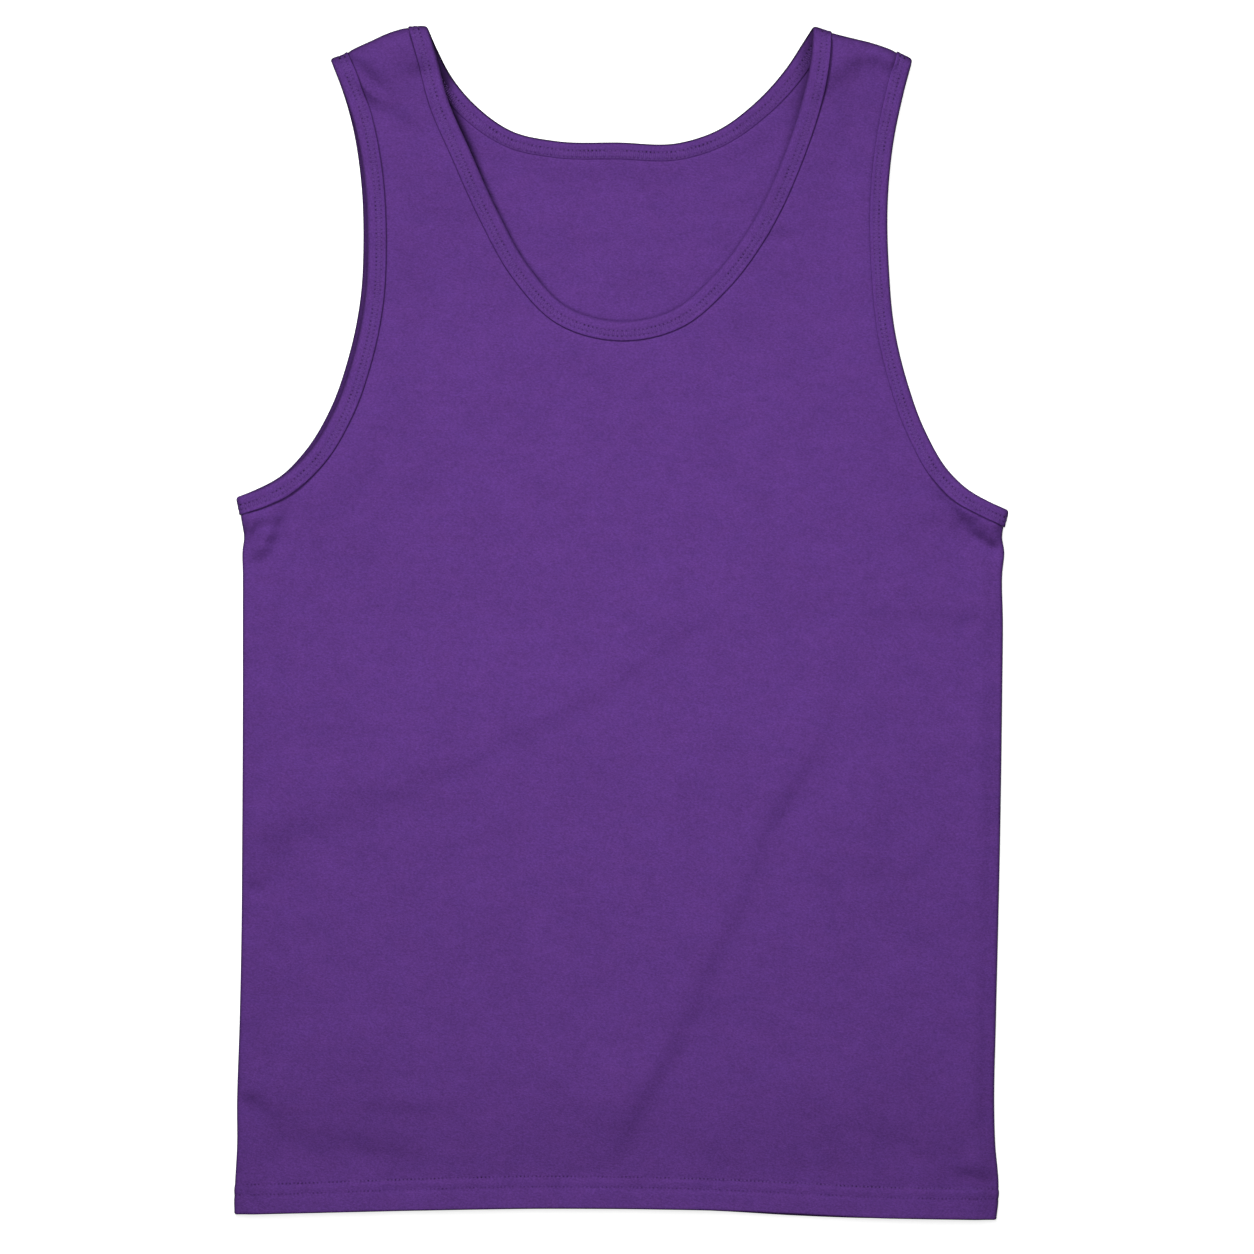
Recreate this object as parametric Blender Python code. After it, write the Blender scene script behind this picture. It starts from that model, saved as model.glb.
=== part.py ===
"""A cotton tank top, laid flat on its back on a surface, neck towards +Y.

Five pieces of cloth, each one closed wall: a front, a back, and three rib
bindings that are folded round the neck and the two armholes. Side and shoulder
seams lie on the folded edges, where front and back each turn a quarter circle
and stop short of each other. The front and back turn up into their own hems.

Every piece comes from one map, cloth(): it takes a point of a panel's cloth,
spread out flat, and says where that point lies on the garment, at any distance
from the middle of the cloth. A binding is a folded section carried round the
edges of both panels through the same map, so it keeps its gap to them.

Tables and sizes are in millimetres. The meshes are in metres.
"""

import bmesh
import bpy
import numpy as np
from mathutils import Vector
from mathutils.geometry import delaunay_2d_cdt

MM = 0.001

# --- cloth ---------------------------------------------------------------
WALL = 1.0  # thickness of one layer
GAP = 0.35  # between two pieces at a seam
PLY = WALL + GAP  # middle of one layer to the middle of the next
FOLD_R = 1.5 * PLY  # middle of a panel round a side or shoulder fold
HEM_R = 0.5 * PLY  # middle of a panel round its hem's turn
HEM_DEPTH = 20.0  # bottom edge to the raw edge of the turned-up cloth
HEM_EDGE = HEM_R + WALL / 2  # bottom edge to where the turn starts
HEM_TURNS = (0.0, 45.0, 90.0, 135.0, 180.0)  # rows of points in the turn, degrees
FOLD_TURNS = (90.0, 60.0, 30.0, 0.0)  # rows of points in a fold, degrees
HEM_STOP = 30.0  # the turned-up cloth stops here in a side's fold, degrees

# --- bindings --------------------------------------------------------------
NECK_WIDTH = 11.6
LEFT_WIDTH = 10.6  # wearer's left, +X
RIGHT_WIDTH = 11.2
BIND_WALL = 1.2  # cloth of a binding across its folded edge
RAW_EDGE = BIND_WALL + GAP  # binding's folded edge to the panel's raw edge inside it

# --- heights of the cloth's middle over the surface ------------------------
BACK_REST = WALL / 2
BACK_RISE = PLY  # the back stands on the binding's lower layer beside its edges
FRONT_REST = 3.0  # middle of the body
EDGE_LIFT = 2 * FOLD_R  # front over back wherever the two are joined or hemmed
RISE_FROM, RISE_TO = 12.5, 25.0  # from a bound edge: full rise, none
SETTLE_TO = 48.0  # from an edge: where the front has settled to its rest

# --- spacing of points -------------------------------------------------------
EDGE_STEP = 12.5  # along a bound edge
SEAM_STEP = 22.0  # along a side, a shoulder or a hem
FRONT_STEP = 19.0  # inside the front
BACK_STEP = 27.0  # inside the back
FOLD_STEP = 11.0  # along a fold of the front

# Sides of the body: height y, left edge x, right edge x. The last two rows run
# on in a straight line under the armhole bindings.
SIDES = np.array(
    [
        (-360.0, -233.7, 225.5),
        (-340.0, -233.3, 226.9),
        (-312.0, -231.9, 224.8),
        (-293.0, -232.0, 224.3),
        (-239.0, -230.4, 225.3),
        (-185.0, -229.3, 226.6),
        (-130.0, -228.9, 227.8),
        (-40.0, -228.5, 229.1),
        (2.0, -228.5, 229.5),
        (30.0, -228.5, 229.1),
        (44.0, -228.7, 230.3),
        (53.0, -227.7, 228.9),
        (58.0, -228.5, 229.9),
    ]
)

# Bottom edge: across x, front y, back y.
HEM = np.array(
    [
        (-240.0, -356.1, -355.6),
        (-190.0, -354.9, -354.4),
        (-120.0, -353.3, -352.7),
        (-50.0, -352.2, -351.7),
        (10.0, -352.5, -352.3),
        (60.0, -353.5, -354.2),
        (105.0, -355.6, -356.8),
        (150.0, -357.8, -358.4),
        (190.0, -358.6, -358.2),
        (235.0, -359.4, -358.8),
    ]
)

# Shoulders, armhole end to neck end: x, y.
SHOULDERS = {
    -1: np.array(
        [
            (-175.4, 338.9),
            (-167.5, 342.2),
            (-162.8, 345.4),
            (-157.5, 348.1),
            (-151.0, 351.1),
            (-140.0, 356.0),
            (-129.5, 358.7),
            (-117.0, 358.8),
        ]
    ),
    1: np.array(
        [
            (174.7, 338.7),
            (162.5, 345.4),
            (150.5, 349.8),
            (139.5, 352.5),
            (127.5, 355.4),
            (114.8, 358.8),
        ]
    ),
}

# Bound edges. Each runs from one seam to the next: x, y.
NECK_EDGE = {
    "front": [
        (-111.6, 341.0),
        (-104.9, 315.7),
        (-91.7, 285.0),
        (-75.0, 248.0),
        (-55.7, 214.0),
        (-33.0, 190.5),
        (0.0, 181.8),
        (30.0, 188.4),
        (56.0, 210.3),
        (79.0, 242.1),
        (97.0, 280.5),
        (108.5, 315.0),
        (113.6, 340.0),
    ],
    "back": [
        (-111.2, 345.6),
        (-102.3, 328.9),
        (-87.1, 311.2),
        (-66.0, 296.6),
        (-40.0, 290.8),
        (-2.0, 289.9),
        (34.0, 289.6),
        (57.0, 297.0),
        (79.6, 313.3),
        (98.9, 334.6),
        (109.0, 350.0),
    ],
}
ARM_EDGE = {
    ("front", -1): [
        (-221.0, 79.6),
        (-205.5, 87.6),
        (-189.0, 102.3),
        (-173.6, 127.0),
        (-162.0, 159.0),
        (-154.8, 195.0),
        (-153.2, 231.0),
        (-155.0, 267.5),
        (-161.0, 300.0),
        (-168.0, 321.0),
    ],
    ("back", -1): [
        (-221.3, 80.5),
        (-206.0, 88.7),
        (-190.5, 104.6),
        (-176.1, 128.7),
        (-165.0, 160.0),
        (-157.8, 195.0),
        (-155.9, 231.2),
        (-157.4, 267.4),
        (-162.5, 300.0),
        (-168.5, 321.0),
    ],
    ("front", 1): [
        (221.0, 73.4),
        (208.6, 80.5),
        (196.0, 92.6),
        (182.5, 116.0),
        (171.3, 146.8),
        (164.5, 175.0),
        (160.6, 215.0),
        (160.2, 258.4),
        (163.2, 288.0),
        (169.5, 319.0),
    ],
    ("back", 1): [
        (220.6, 72.8),
        (207.8, 79.4),
        (194.8, 91.8),
        (181.0, 115.5),
        (169.8, 146.5),
        (163.0, 175.0),
        (159.2, 215.0),
        (158.9, 258.4),
        (162.4, 288.0),
        (169.1, 319.0),
    ],
}
UNDERARM_Y = {-1: 76.2, 1: 68.2}  # where the armhole's edge meets the side seam

# Main folds of the front. Each is a step in the cloth along a path: it rises to a
# soft ridge on the left of the way along, and falls over the narrow width to a
# shallow trough on the right. Path points are x, y, drop, narrow width. The last
# two numbers say how far the ridge and the trough reach.
FOLDS = [
    # the long fold from the left side up to the middle
    (
        [
            (-228.8, -150.4, 4.1, 15.3),
            (-214.5, -141.0, 4.3, 16.1),
            (-192.1, -127.6, 5.2, 14.6),
            (-165.5, -115.6, 2.4, 10.0),
            (-132.9, -101.6, 1.7, 6.2),
            (-102.6, -88.9, 1.8, 5.5),
            (-71.2, -72.5, 0.9, 4.0),
            (-45.2, -58.7, 1.1, 3.4),
            (-18.6, -45.4, 1.1, 3.2),
            (11.7, -25.0, 0.9, 2.6),
            (37.1, -7.4, 1.3, 2.5),
            (64.2, 9.4, 0.3, 2.5),
        ],
        30.0,
        24.0,
    ),
    # the long fold from the hem up to the right
    (
        [
            (-15.9, -341.3, 0.7, 6.0),
            (-5.0, -321.6, 1.6, 6.3),
            (7.5, -299.3, 3.3, 6.5),
            (21.0, -274.0, 4.6, 6.0),
            (34.4, -250.1, 2.6, 5.2),
            (45.7, -229.5, 2.8, 6.0),
            (56.4, -203.9, 3.0, 6.2),
            (68.7, -177.2, 2.0, 5.2),
            (79.6, -151.5, 2.2, 5.2),
            (88.9, -127.4, 3.7, 6.0),
            (100.4, -104.7, 3.3, 5.5),
            (115.1, -79.5, 2.0, 4.8),
            (125.1, -56.0, 1.1, 4.5),
            (131.8, -15.2, 0.4, 4.2),
        ],
        22.0,
        20.0,
    ),
    # in from the right side
    (
        [
            (140.7, 0.4, 0.1, 3.1),
            (154.3, 6.5, 1.1, 3.1),
            (170.7, 4.8, 1.0, 3.8),
            (184.4, 4.8, 1.8, 5.1),
            (200.5, 5.1, 2.9, 8.4),
            (214.5, -0.3, 2.5, 7.8),
            (230.2, -2.2, 1.6, 6.6),
        ],
        16.0,
        14.0,
    ),
    # under the right arm
    (
        [
            (179.6, 85.3, 3.8, 9.0),
            (192.1, 76.6, 11.5, 9.4),
            (202.1, 68.5, 9.9, 7.6),
            (213.5, 59.3, 8.1, 4.0),
            (228.2, 47.6, 7.0, 2.3),
        ],
        15.0,
        12.0,
    ),
    # bottom left corner
    (
        [
            (-233.0, -277.9, 5.9, 3.6),
            (-225.4, -283.8, 6.5, 3.8),
            (-213.6, -296.1, 1.6, 6.2),
            (-193.7, -308.2, 2.0, 8.4),
            (-155.6, -316.5, 2.0, 6.4),
            (-115.9, -320.9, 0.2, 6.5),
        ],
        17.0,
        10.0,
    ),
    # bottom right corner
    (
        [
            (119.0, -290.0, 0.5, 10.5),
            (146.1, -299.1, 2.3, 11.2),
            (173.2, -309.3, 3.2, 10.4),
            (196.0, -324.7, 3.0, 5.5),
            (212.5, -333.3, 4.7, 3.6),
            (225.7, -336.2, 3.6, 3.4),
        ],
        24.0,
        10.0,
    ),
    # left strap
    (
        [
            (-167.0, 344.0, 3.0, 3.4),
            (-160.0, 338.3, 5.5, 3.6),
            (-146.5, 326.3, 7.0, 4.4),
            (-133.3, 316.5, 5.0, 5.0),
            (-117.0, 303.0, 1.5, 6.0),
        ],
        12.0,
        12.0,
    ),
    # right strap
    (
        [
            (112.0, 315.9, 1.6, 4.4),
            (128.5, 329.7, 3.8, 5.0),
            (146.6, 340.4, 4.1, 4.6),
            (162.8, 342.6, 1.9, 4.0),
        ],
        12.0,
        12.0,
    ),
]
RIDGE_SHARE = 0.54
# Middle of the front above its rest, by distance up from the hem's edge.
ABOVE_HEM = np.array(
    [
        (0.0, 2.3),
        (20.0, 1.6),
        (36.0, 1.85),
        (55.0, 2.3),
        (80.0, 1.8),
        (110.0, 0.8),
        (150.0, 0.1),
        (180.0, 0.0),
    ]
)
# Broad swells of the front: x, y, height, reach.
SWELLS = [
    (-150.0, -262.0, 2.2, 60.0),
    (165.0, -255.0, 2.4, 64.0),
    (-20.0, -285.0, 1.4, 70.0),
    (-60.0, 110.0, 1.0, 90.0),
    (90.0, 60.0, 0.8, 80.0),
    (-150.0, -60.0, 1.2, 70.0),
    (20.0, -190.0, 1.2, 60.0),
    (150.0, -120.0, 1.2, 70.0),
]
# The neck's left edge stands a little off the back: x, y, height, reach.
NECK_LIFT = (-95.0, 282.0, 5.0, 74.0)

CLOTH_COLOUR = (0.107, 0.038, 0.212, 1.0)
CLOTH_ROUGHNESS = 0.9


def fade(distance, near, far):
    """1 up to near, 0 from far, and a smooth curve between."""
    part = np.clip((distance - near) / (far - near), 0.0, 1.0)
    return 1.0 - part * part * (3.0 - 2.0 * part)


def through(points, step=1.0):
    """A smooth curve through points, given back as close-set points."""
    points = np.asarray(points, float)
    run = np.concatenate([[0.0], np.cumsum(np.hypot(*np.diff(points, axis=0).T))])
    slope = np.gradient(points, run, axis=0)
    curve = []
    for i in range(len(points) - 1):
        length = run[i + 1] - run[i]
        t = np.linspace(0.0, 1.0, max(2, int(length / step)))[:-1, None]
        curve.append(
            (2 * t**3 - 3 * t**2 + 1) * points[i]
            + (t**3 - 2 * t**2 + t) * length * slope[i]
            + (3 * t**2 - 2 * t**3) * points[i + 1]
            + (t**3 - t**2) * length * slope[i + 1]
        )
    return np.vstack([*curve, points[-1:]])


def run_of(curve):
    """Distance along a curve at each of its points."""
    return np.concatenate([[0.0], np.cumsum(np.hypot(*np.diff(curve, axis=0).T))])


def extended(x, table_x, table_y):
    """Straight lines through a table, also past its ends."""
    first = (table_y[1] - table_y[0]) / (table_x[1] - table_x[0])
    last = (table_y[-1] - table_y[-2]) / (table_x[-1] - table_x[-2])
    inside = np.interp(x, table_x, table_y)
    return (
        inside
        + first * np.minimum(x - table_x[0], 0.0)
        + last * np.maximum(x - table_x[-1], 0.0)
    )


# --- folded edges --------------------------------------------------------------
def side_x(side, y):
    """Middle of the cloth at its outermost, along a side."""
    edge = extended(y, SIDES[:, 0], SIDES[:, 1 if side < 0 else 2])
    return edge - side * WALL / 2


class Shoulder:
    """A shoulder's folded edge, in its own axes: t along it, d into the strap."""

    def __init__(self, side):
        table = SHOULDERS[side]
        self.origin = table[0]
        along = table[-1] - table[0]
        self.along = along / np.hypot(*along)
        self.inward = side * np.array([self.along[1], -self.along[0]])
        if self.inward[1] > 0:
            self.inward = -self.inward
        local = table - self.origin
        self.t = local @ self.along
        self.d = local @ self.inward + WALL / 2

    def depth(self, points):
        """How far inside the folded edge points lie."""
        local = points - self.origin
        edge = extended(local @ self.along, self.t, self.d)
        return local @ self.inward - edge

    def point(self, t, depth):
        edge = extended(t, self.t, self.d)
        return (
            self.origin
            + np.outer(np.atleast_1d(t), self.along)
            + np.outer(np.atleast_1d(edge + depth), self.inward)
        )

    def place(self, point):
        return float((point - self.origin) @ self.along)


SHOULDER = {side: Shoulder(side) for side in (-1, 1)}


def fold_depth(turn):
    """Depth, on spread-out cloth, of a row turned by so many degrees."""
    return FOLD_R - FOLD_R * np.radians(turn)


SEAM_DEPTH = fold_depth(90.0)
ROW_DEPTHS = [fold_depth(turn) for turn in FOLD_TURNS]
PANEL_DEPTHS = [SEAM_DEPTH + GAP / 2, *ROW_DEPTHS[1:]]


# --- bound edges ------------------------------------------------------------
def arm_edge(panel, side):
    """An armhole's edge on one panel, side seam to shoulder seam."""
    y = UNDERARM_Y[side]
    start = (side_x(side, y) - side * SEAM_DEPTH, y)
    end = SHOULDER[side].point(0.0, SEAM_DEPTH)[0]
    return through([start, *ARM_EDGE[panel, side], end])


def neck_edge(panel):
    """The neck's edge on one panel, shoulder seam to shoulder seam."""
    ends = [
        SHOULDER[side].point(SHOULDER[side].t[-1], SEAM_DEPTH)[0] for side in (-1, 1)
    ]
    return through([ends[0], *NECK_EDGE[panel], ends[1]])


EDGES = {
    panel: {
        "neck": neck_edge(panel),
        -1: arm_edge(panel, -1),
        1: arm_edge(panel, 1),
    }
    for panel in ("front", "back")
}


def distance(points, curve):
    """From each point to the nearest point of a curve."""
    apart = points[:, None, :] - curve[None, ::3, :]
    return np.sqrt((apart**2).sum(axis=2).min(axis=1))


# --- heights -------------------------------------------------------------------
def hem_y(panel, x):
    return np.interp(x, HEM[:, 0], HEM[:, 1 if panel == "front" else 2])


def fold_distance(points):
    """Into the cloth from the nearest side or shoulder fold."""
    x, y = points.T
    side = np.minimum(x - side_x(-1, y), side_x(1, y) - x)
    shoulder = np.where(
        x < 0, SHOULDER[-1].depth(points), SHOULDER[1].depth(points)
    )
    return np.minimum(side, shoulder)


def back_height(points):
    edges = EDGES["back"].values()
    near = np.min([distance(points, edge) for edge in edges], axis=0)
    return BACK_REST + BACK_RISE * fade(near, RISE_FROM, RISE_TO)


def fold_path(rows, step=1.5):
    """A fold's path as close-set points, the way along it, and drop and width."""
    rows = np.array(rows)
    path = through(rows[:, :2], step)
    way = np.gradient(path, axis=0)
    way /= np.hypot(*way.T)[:, None]
    at = [np.hypot(*(path - row[:2]).T).argmin() for row in rows]
    drop, narrow = (np.interp(np.arange(len(path)), at, rows[:, i]) for i in (2, 3))
    return path, way, drop, narrow


def fold_relief(points):
    """Height of the main folds, from FOLDS."""
    relief = np.zeros(len(points))
    for rows, ridge, trough in FOLDS:
        path, way, drop, narrow = fold_path(rows)
        near = np.hypot(
            points[:, None, 0] - path[None, :, 0], points[:, None, 1] - path[None, :, 1]
        ).argmin(axis=1)
        local = points - path[near]
        past = (local * way[near]).sum(axis=1)
        right = np.column_stack([way[near, 1], -way[near, 0]])
        across = (local * right).sum(axis=1)
        size = np.where(across < 0, ridge, trough)
        share = np.where(across < 0, RIDGE_SHARE, 1.0 - RIDGE_SHARE)
        step = -np.tanh(across / narrow[near]) * np.exp(-((across / size) ** 2))
        end = np.exp(-((past / (0.5 * (ridge + trough))) ** 2))
        relief += drop[near] * share * step * end
    return relief


def front_height(points):
    edges = EDGES["front"]
    arm = np.minimum(distance(points, edges[-1]), distance(points, edges[1]))
    neck = distance(points, edges["neck"])
    x, y = points.T
    back = back_height(points)
    joined = BACK_REST + EDGE_LIFT
    bound = joined + BACK_RISE
    # Beside the neck the front comes down from the straps to the chest.
    neck_level = joined + (bound - joined) * fade(320.0 - y, 0.0, 110.0)
    side = np.minimum(x - side_x(-1, y), side_x(1, y) - x)
    hem = y - hem_y("front", x)
    lifts = [
        (bound - FRONT_REST) * fade(arm, 14.0, SETTLE_TO),
        (neck_level - FRONT_REST) * fade(neck, 14.0, SETTLE_TO),
        (joined - FRONT_REST) * fade(side, 5.0, SETTLE_TO),
        np.interp(hem, *ABOVE_HEM.T),
    ]
    height = FRONT_REST + np.max(lifts, axis=0)
    above_hem = 1.0 - fade(hem, HEM_DEPTH + 1.5, HEM_DEPTH + 12.0)
    for swell_x, swell_y, rise, reach in SWELLS:
        square = (x - swell_x) ** 2 + (y - swell_y) ** 2
        height += rise * above_hem * np.exp(-square / (2 * (reach / 2) ** 2))
    free = 1.0 - np.maximum(
        fade(np.minimum(arm, neck), RISE_FROM, RISE_TO), fade(hem, HEM_DEPTH, 34.0)
    )
    height += fold_relief(points) * free
    lift_x, lift_y, lift, reach = NECK_LIFT
    height += lift * np.exp(
        -((x - lift_x) ** 2 + (y - lift_y) ** 2) / (2 * (reach / 2) ** 2)
    )
    # Never down on the back.
    lowest = back + WALL + 0.5
    over = height - lowest
    height = lowest + 0.5 * (over + np.hypot(over, 0.4))
    near_fold = fade(fold_distance(points), 4.0, 16.0)
    return height * (1.0 - near_fold) + (back + EDGE_LIFT) * near_fold


HEIGHT = {"front": front_height, "back": back_height}
UP = {"front": 1.0, "back": -1.0}  # the side of a panel that faces out


# --- the map --------------------------------------------------------------------
def turned(panel, points):
    """How far spread-out points run past the start of the hem's turn."""
    return np.maximum(hem_y(panel, points[:, 0]) + HEM_EDGE - points[:, 1], 0.0)


def cloth(panel, points, offset):
    """Where points of a panel's spread-out cloth lie, moved out by offset."""
    x, y = points.T
    past = turned(panel, points)
    turn = np.minimum(past / HEM_R, np.pi)
    after = np.maximum(past - np.pi * HEM_R, 0.0)
    start = hem_y(panel, x) + HEM_EDGE
    radius = HEM_R + offset
    y = np.where(past > 0, start - radius * np.sin(turn) + after, y)
    out = np.where(past > 0, radius * np.cos(turn) - HEM_R, offset)
    plan = np.column_stack([x, y])

    up = UP[panel]
    height = HEIGHT[panel](plan)
    reach = 0.5
    slope = [
        (HEIGHT[panel](plan + step) - HEIGHT[panel](plan - step)) / (2 * reach)
        for step in (np.array([reach, 0.0]), np.array([0.0, reach]))
    ]
    flat = np.column_stack([-slope[0], -slope[1], np.ones(len(x))]) * up
    flat /= np.linalg.norm(flat, axis=1)[:, None]

    place = np.column_stack([plan, height])
    normal = flat
    folds = [
        (x - side_x(-1, y), np.array([1.0, 0.0]), y < 150.0),
        (side_x(1, y) - x, np.array([-1.0, 0.0]), y < 150.0),
        (SHOULDER[-1].depth(plan), SHOULDER[-1].inward, (y > 250.0) & (x < 0)),
        (SHOULDER[1].depth(plan), SHOULDER[1].inward, (y > 250.0) & (x > 0)),
    ]
    for depth, inward, here in folds:
        angle = np.clip((FOLD_R - depth) / FOLD_R, 0.0, np.pi / 2) * here
        shift = (FOLD_R - FOLD_R * np.sin(angle) - depth) * (angle > 0)
        place[:, :2] += shift[:, None] * inward
        place[:, 2] -= up * FOLD_R * (1.0 - np.cos(angle))
        outward = np.append(-inward, 0.0)
        normal = (
            normal * np.cos(angle)[:, None] + outward * np.sin(angle)[:, None]
        )
    normal /= np.linalg.norm(normal, axis=1)[:, None]
    return place + normal * np.reshape(out, (-1, 1))


# --- stations round a bound edge ----------------------------------------------
def crossing(curve, depths, wanted, last):
    """Distance along a curve at which it has come to a depth inside a fold."""
    run = run_of(curve)
    half = len(curve) // 2
    part = slice(half, None) if last else slice(None, half)
    order = np.argsort(depths[part])
    return float(np.interp(wanted, depths[part][order], run[part][order]))


def stations(panel, edge):
    """Points of a bound edge, and the way from each into the cloth."""
    curve = EDGES[panel][edge]
    run = run_of(curve)
    if edge == "neck":
        ends = [SHOULDER[-1], SHOULDER[1]]
        depths = [end.depth(curve) for end in ends]
        ways = [
            -fold_way(end.t[-2:], end) for end in ends
        ]
    else:
        top = SHOULDER[edge]
        side_depth = -edge * curve[:, 0] + edge * side_x(edge, curve[:, 1])
        depths = [side_depth, top.depth(curve)]
        rows = SIDES[-2:, [1 if edge < 0 else 2, 0]]
        down = rows[0] - rows[1]
        ways = [down / np.hypot(*down), fold_way(top.t[:2], top)]
    first = [crossing(curve, depths[0], d, False) for d in ROW_DEPTHS]
    last = [crossing(curve, depths[1], d, True) for d in ROW_DEPTHS]
    first[0], last[0] = 0.0, float(run[-1])
    count = int(round((last[-1] - first[-1]) / EDGE_STEP))
    between = np.linspace(first[-1], last[-1], count + 1)[1:-1]
    at = np.array([*first, *between, *last[::-1]])
    points = np.column_stack([np.interp(at, run, curve[:, i]) for i in (0, 1)])
    ahead = np.column_stack(
        [
            np.interp(at + 2.0, run, curve[:, i])
            - np.interp(at - 2.0, run, curve[:, i])
            for i in (0, 1)
        ]
    )
    turn_right = np.column_stack([ahead[:, 1], -ahead[:, 0]])
    into = turn_right if edge in ("neck", 1) else -turn_right
    into /= np.hypot(*into.T)[:, None]
    if edge == 1:
        into = -into if (into[len(into) // 2] @ np.array([-1.0, 0.0])) < 0 else into
    if edge == -1:
        into = -into if (into[len(into) // 2] @ np.array([1.0, 0.0])) < 0 else into
    for way, start in ((ways[0], at - first[-1]), (ways[1], last[-1] - at)):
        share = fade(start, 0.0, 30.0)[:, None]
        into = into * (1.0 - share) + way * share
        into /= np.hypot(*into.T)[:, None]
    return points, into


def fold_way(t, shoulder):
    """Direction along a shoulder's fold between two of its points."""
    ends = shoulder.point(np.asarray(t), 0.0)
    way = ends[1] - ends[0]
    return way / np.hypot(*way)


STATIONS = {
    panel: {edge: stations(panel, edge) for edge in EDGES[panel]}
    for panel in EDGES
}


# --- panels -------------------------------------------------------------------
class Sheet:
    """Points and lines of a panel's spread-out cloth, ready to be filled."""

    def __init__(self):
        self.points = []
        self.lines = []
        self.known = {}

    def add(self, point):
        key = (round(float(point[0]), 3), round(float(point[1]), 3))
        if key not in self.known:
            self.known[key] = len(self.points)
            self.points.append(key)
        return self.known[key]

    def line(self, points):
        ids = [self.add(point) for point in points]
        self.lines += [(a, b) for a, b in zip(ids, ids[1:]) if a != b]

    def far_enough(self, points, gap):
        known = np.array(self.points)
        apart = points[:, None, :] - known[None, :, :]
        return points[np.sqrt((apart**2).sum(axis=2).min(axis=1)) > gap]


def hem_rows():
    """Rows of the hem below the start of its turn, as lengths of cloth."""
    turns = [HEM_R * np.radians(turn) for turn in HEM_TURNS]
    return [*turns, np.pi * HEM_R + HEM_DEPTH - HEM_EDGE]


def hem_point(panel, x, past):
    return (x, float(hem_y(panel, x)) + HEM_EDGE - past)


def hem_plan_y(panel, x, past):
    """Height on the garment of a point so far past the start of the turn."""
    after = max(past - np.pi * HEM_R, 0.0)
    turn = min(past / HEM_R, np.pi)
    return float(hem_y(panel, x)) + HEM_EDGE - HEM_R * np.sin(turn) + after


def hem_depth(number, past):
    """Depth of a side's row in the hem, whose turned-up cloth stops short."""
    turn = min(np.degrees(past / HEM_R), 180.0) / 180.0
    stop = FOLD_TURNS[0] + (HEM_STOP - FOLD_TURNS[0]) * turn
    return max(PANEL_DEPTHS[number], fold_depth(stop))


def side_row(panel, side, number):
    """One row of points down a side, underarm to the hem's raw edge."""
    depth = PANEL_DEPTHS[number]
    edge, into = STATIONS[panel][side]
    starts = [(edge[number] + into[number] * reach) for reach in
              (RAW_EDGE, RISE_FROM, RISE_TO)]
    row = [
        (side_x(side, p[1]) - side * depth, p[1]) for p in starts
    ]
    top_of_hem = float(hem_y(panel, side * 229.0)) + HEM_DEPTH + 1.5
    count = int(round((row[-1][1] - top_of_hem) / SEAM_STEP))
    for y in np.linspace(row[-1][1], top_of_hem, count + 1)[1:]:
        row.append((side_x(side, y) - side * depth, y))
    for past in hem_rows():
        y = hem_plan_y(panel, side * 229.0, past)
        x = side_x(side, y) - side * hem_depth(number, past)
        row.append(hem_point(panel, x, past))
    return row


def shoulder_row(panel, side, number):
    """One row of points along a shoulder, armhole to neck."""
    top = SHOULDER[side]
    arm_at = -1 - number
    neck_at = number if side < 0 else -1 - number
    arm_edge_, arm_into = STATIONS[panel][side]
    neck_edge_, neck_into = STATIONS[panel]["neck"]
    first = top.place(arm_edge_[arm_at] + arm_into[arm_at] * RAW_EDGE)
    last = top.place(neck_edge_[neck_at] + neck_into[neck_at] * RAW_EDGE)
    places = [first, *[t for t in top.t[1:-1] if first + 2 < t < last - 2], last]
    return [tuple(top.point(t, PANEL_DEPTHS[number])[0]) for t in places]


def fold_points():
    """Points along the ridge and the trough beside each fold's path."""
    rows = []
    for table, _, _ in FOLDS:
        path, way, _, narrow = fold_path(table, FOLD_STEP)
        right = np.column_stack([way[:, 1], -way[:, 0]])
        off = np.maximum(1.1 * narrow, 3.5)[:, None]
        rows += [path - right * off, path + right * off]
    points = np.vstack(rows)
    edges = EDGES["front"].values()
    bound = np.min([distance(points, edge) for edge in edges], axis=0)
    hem = points[:, 1] - hem_y("front", points[:, 0])
    inside = (fold_distance(points) > 6.0) & (bound > RISE_FROM + 3.0) & (hem > 26.0)
    return points[inside]


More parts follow.
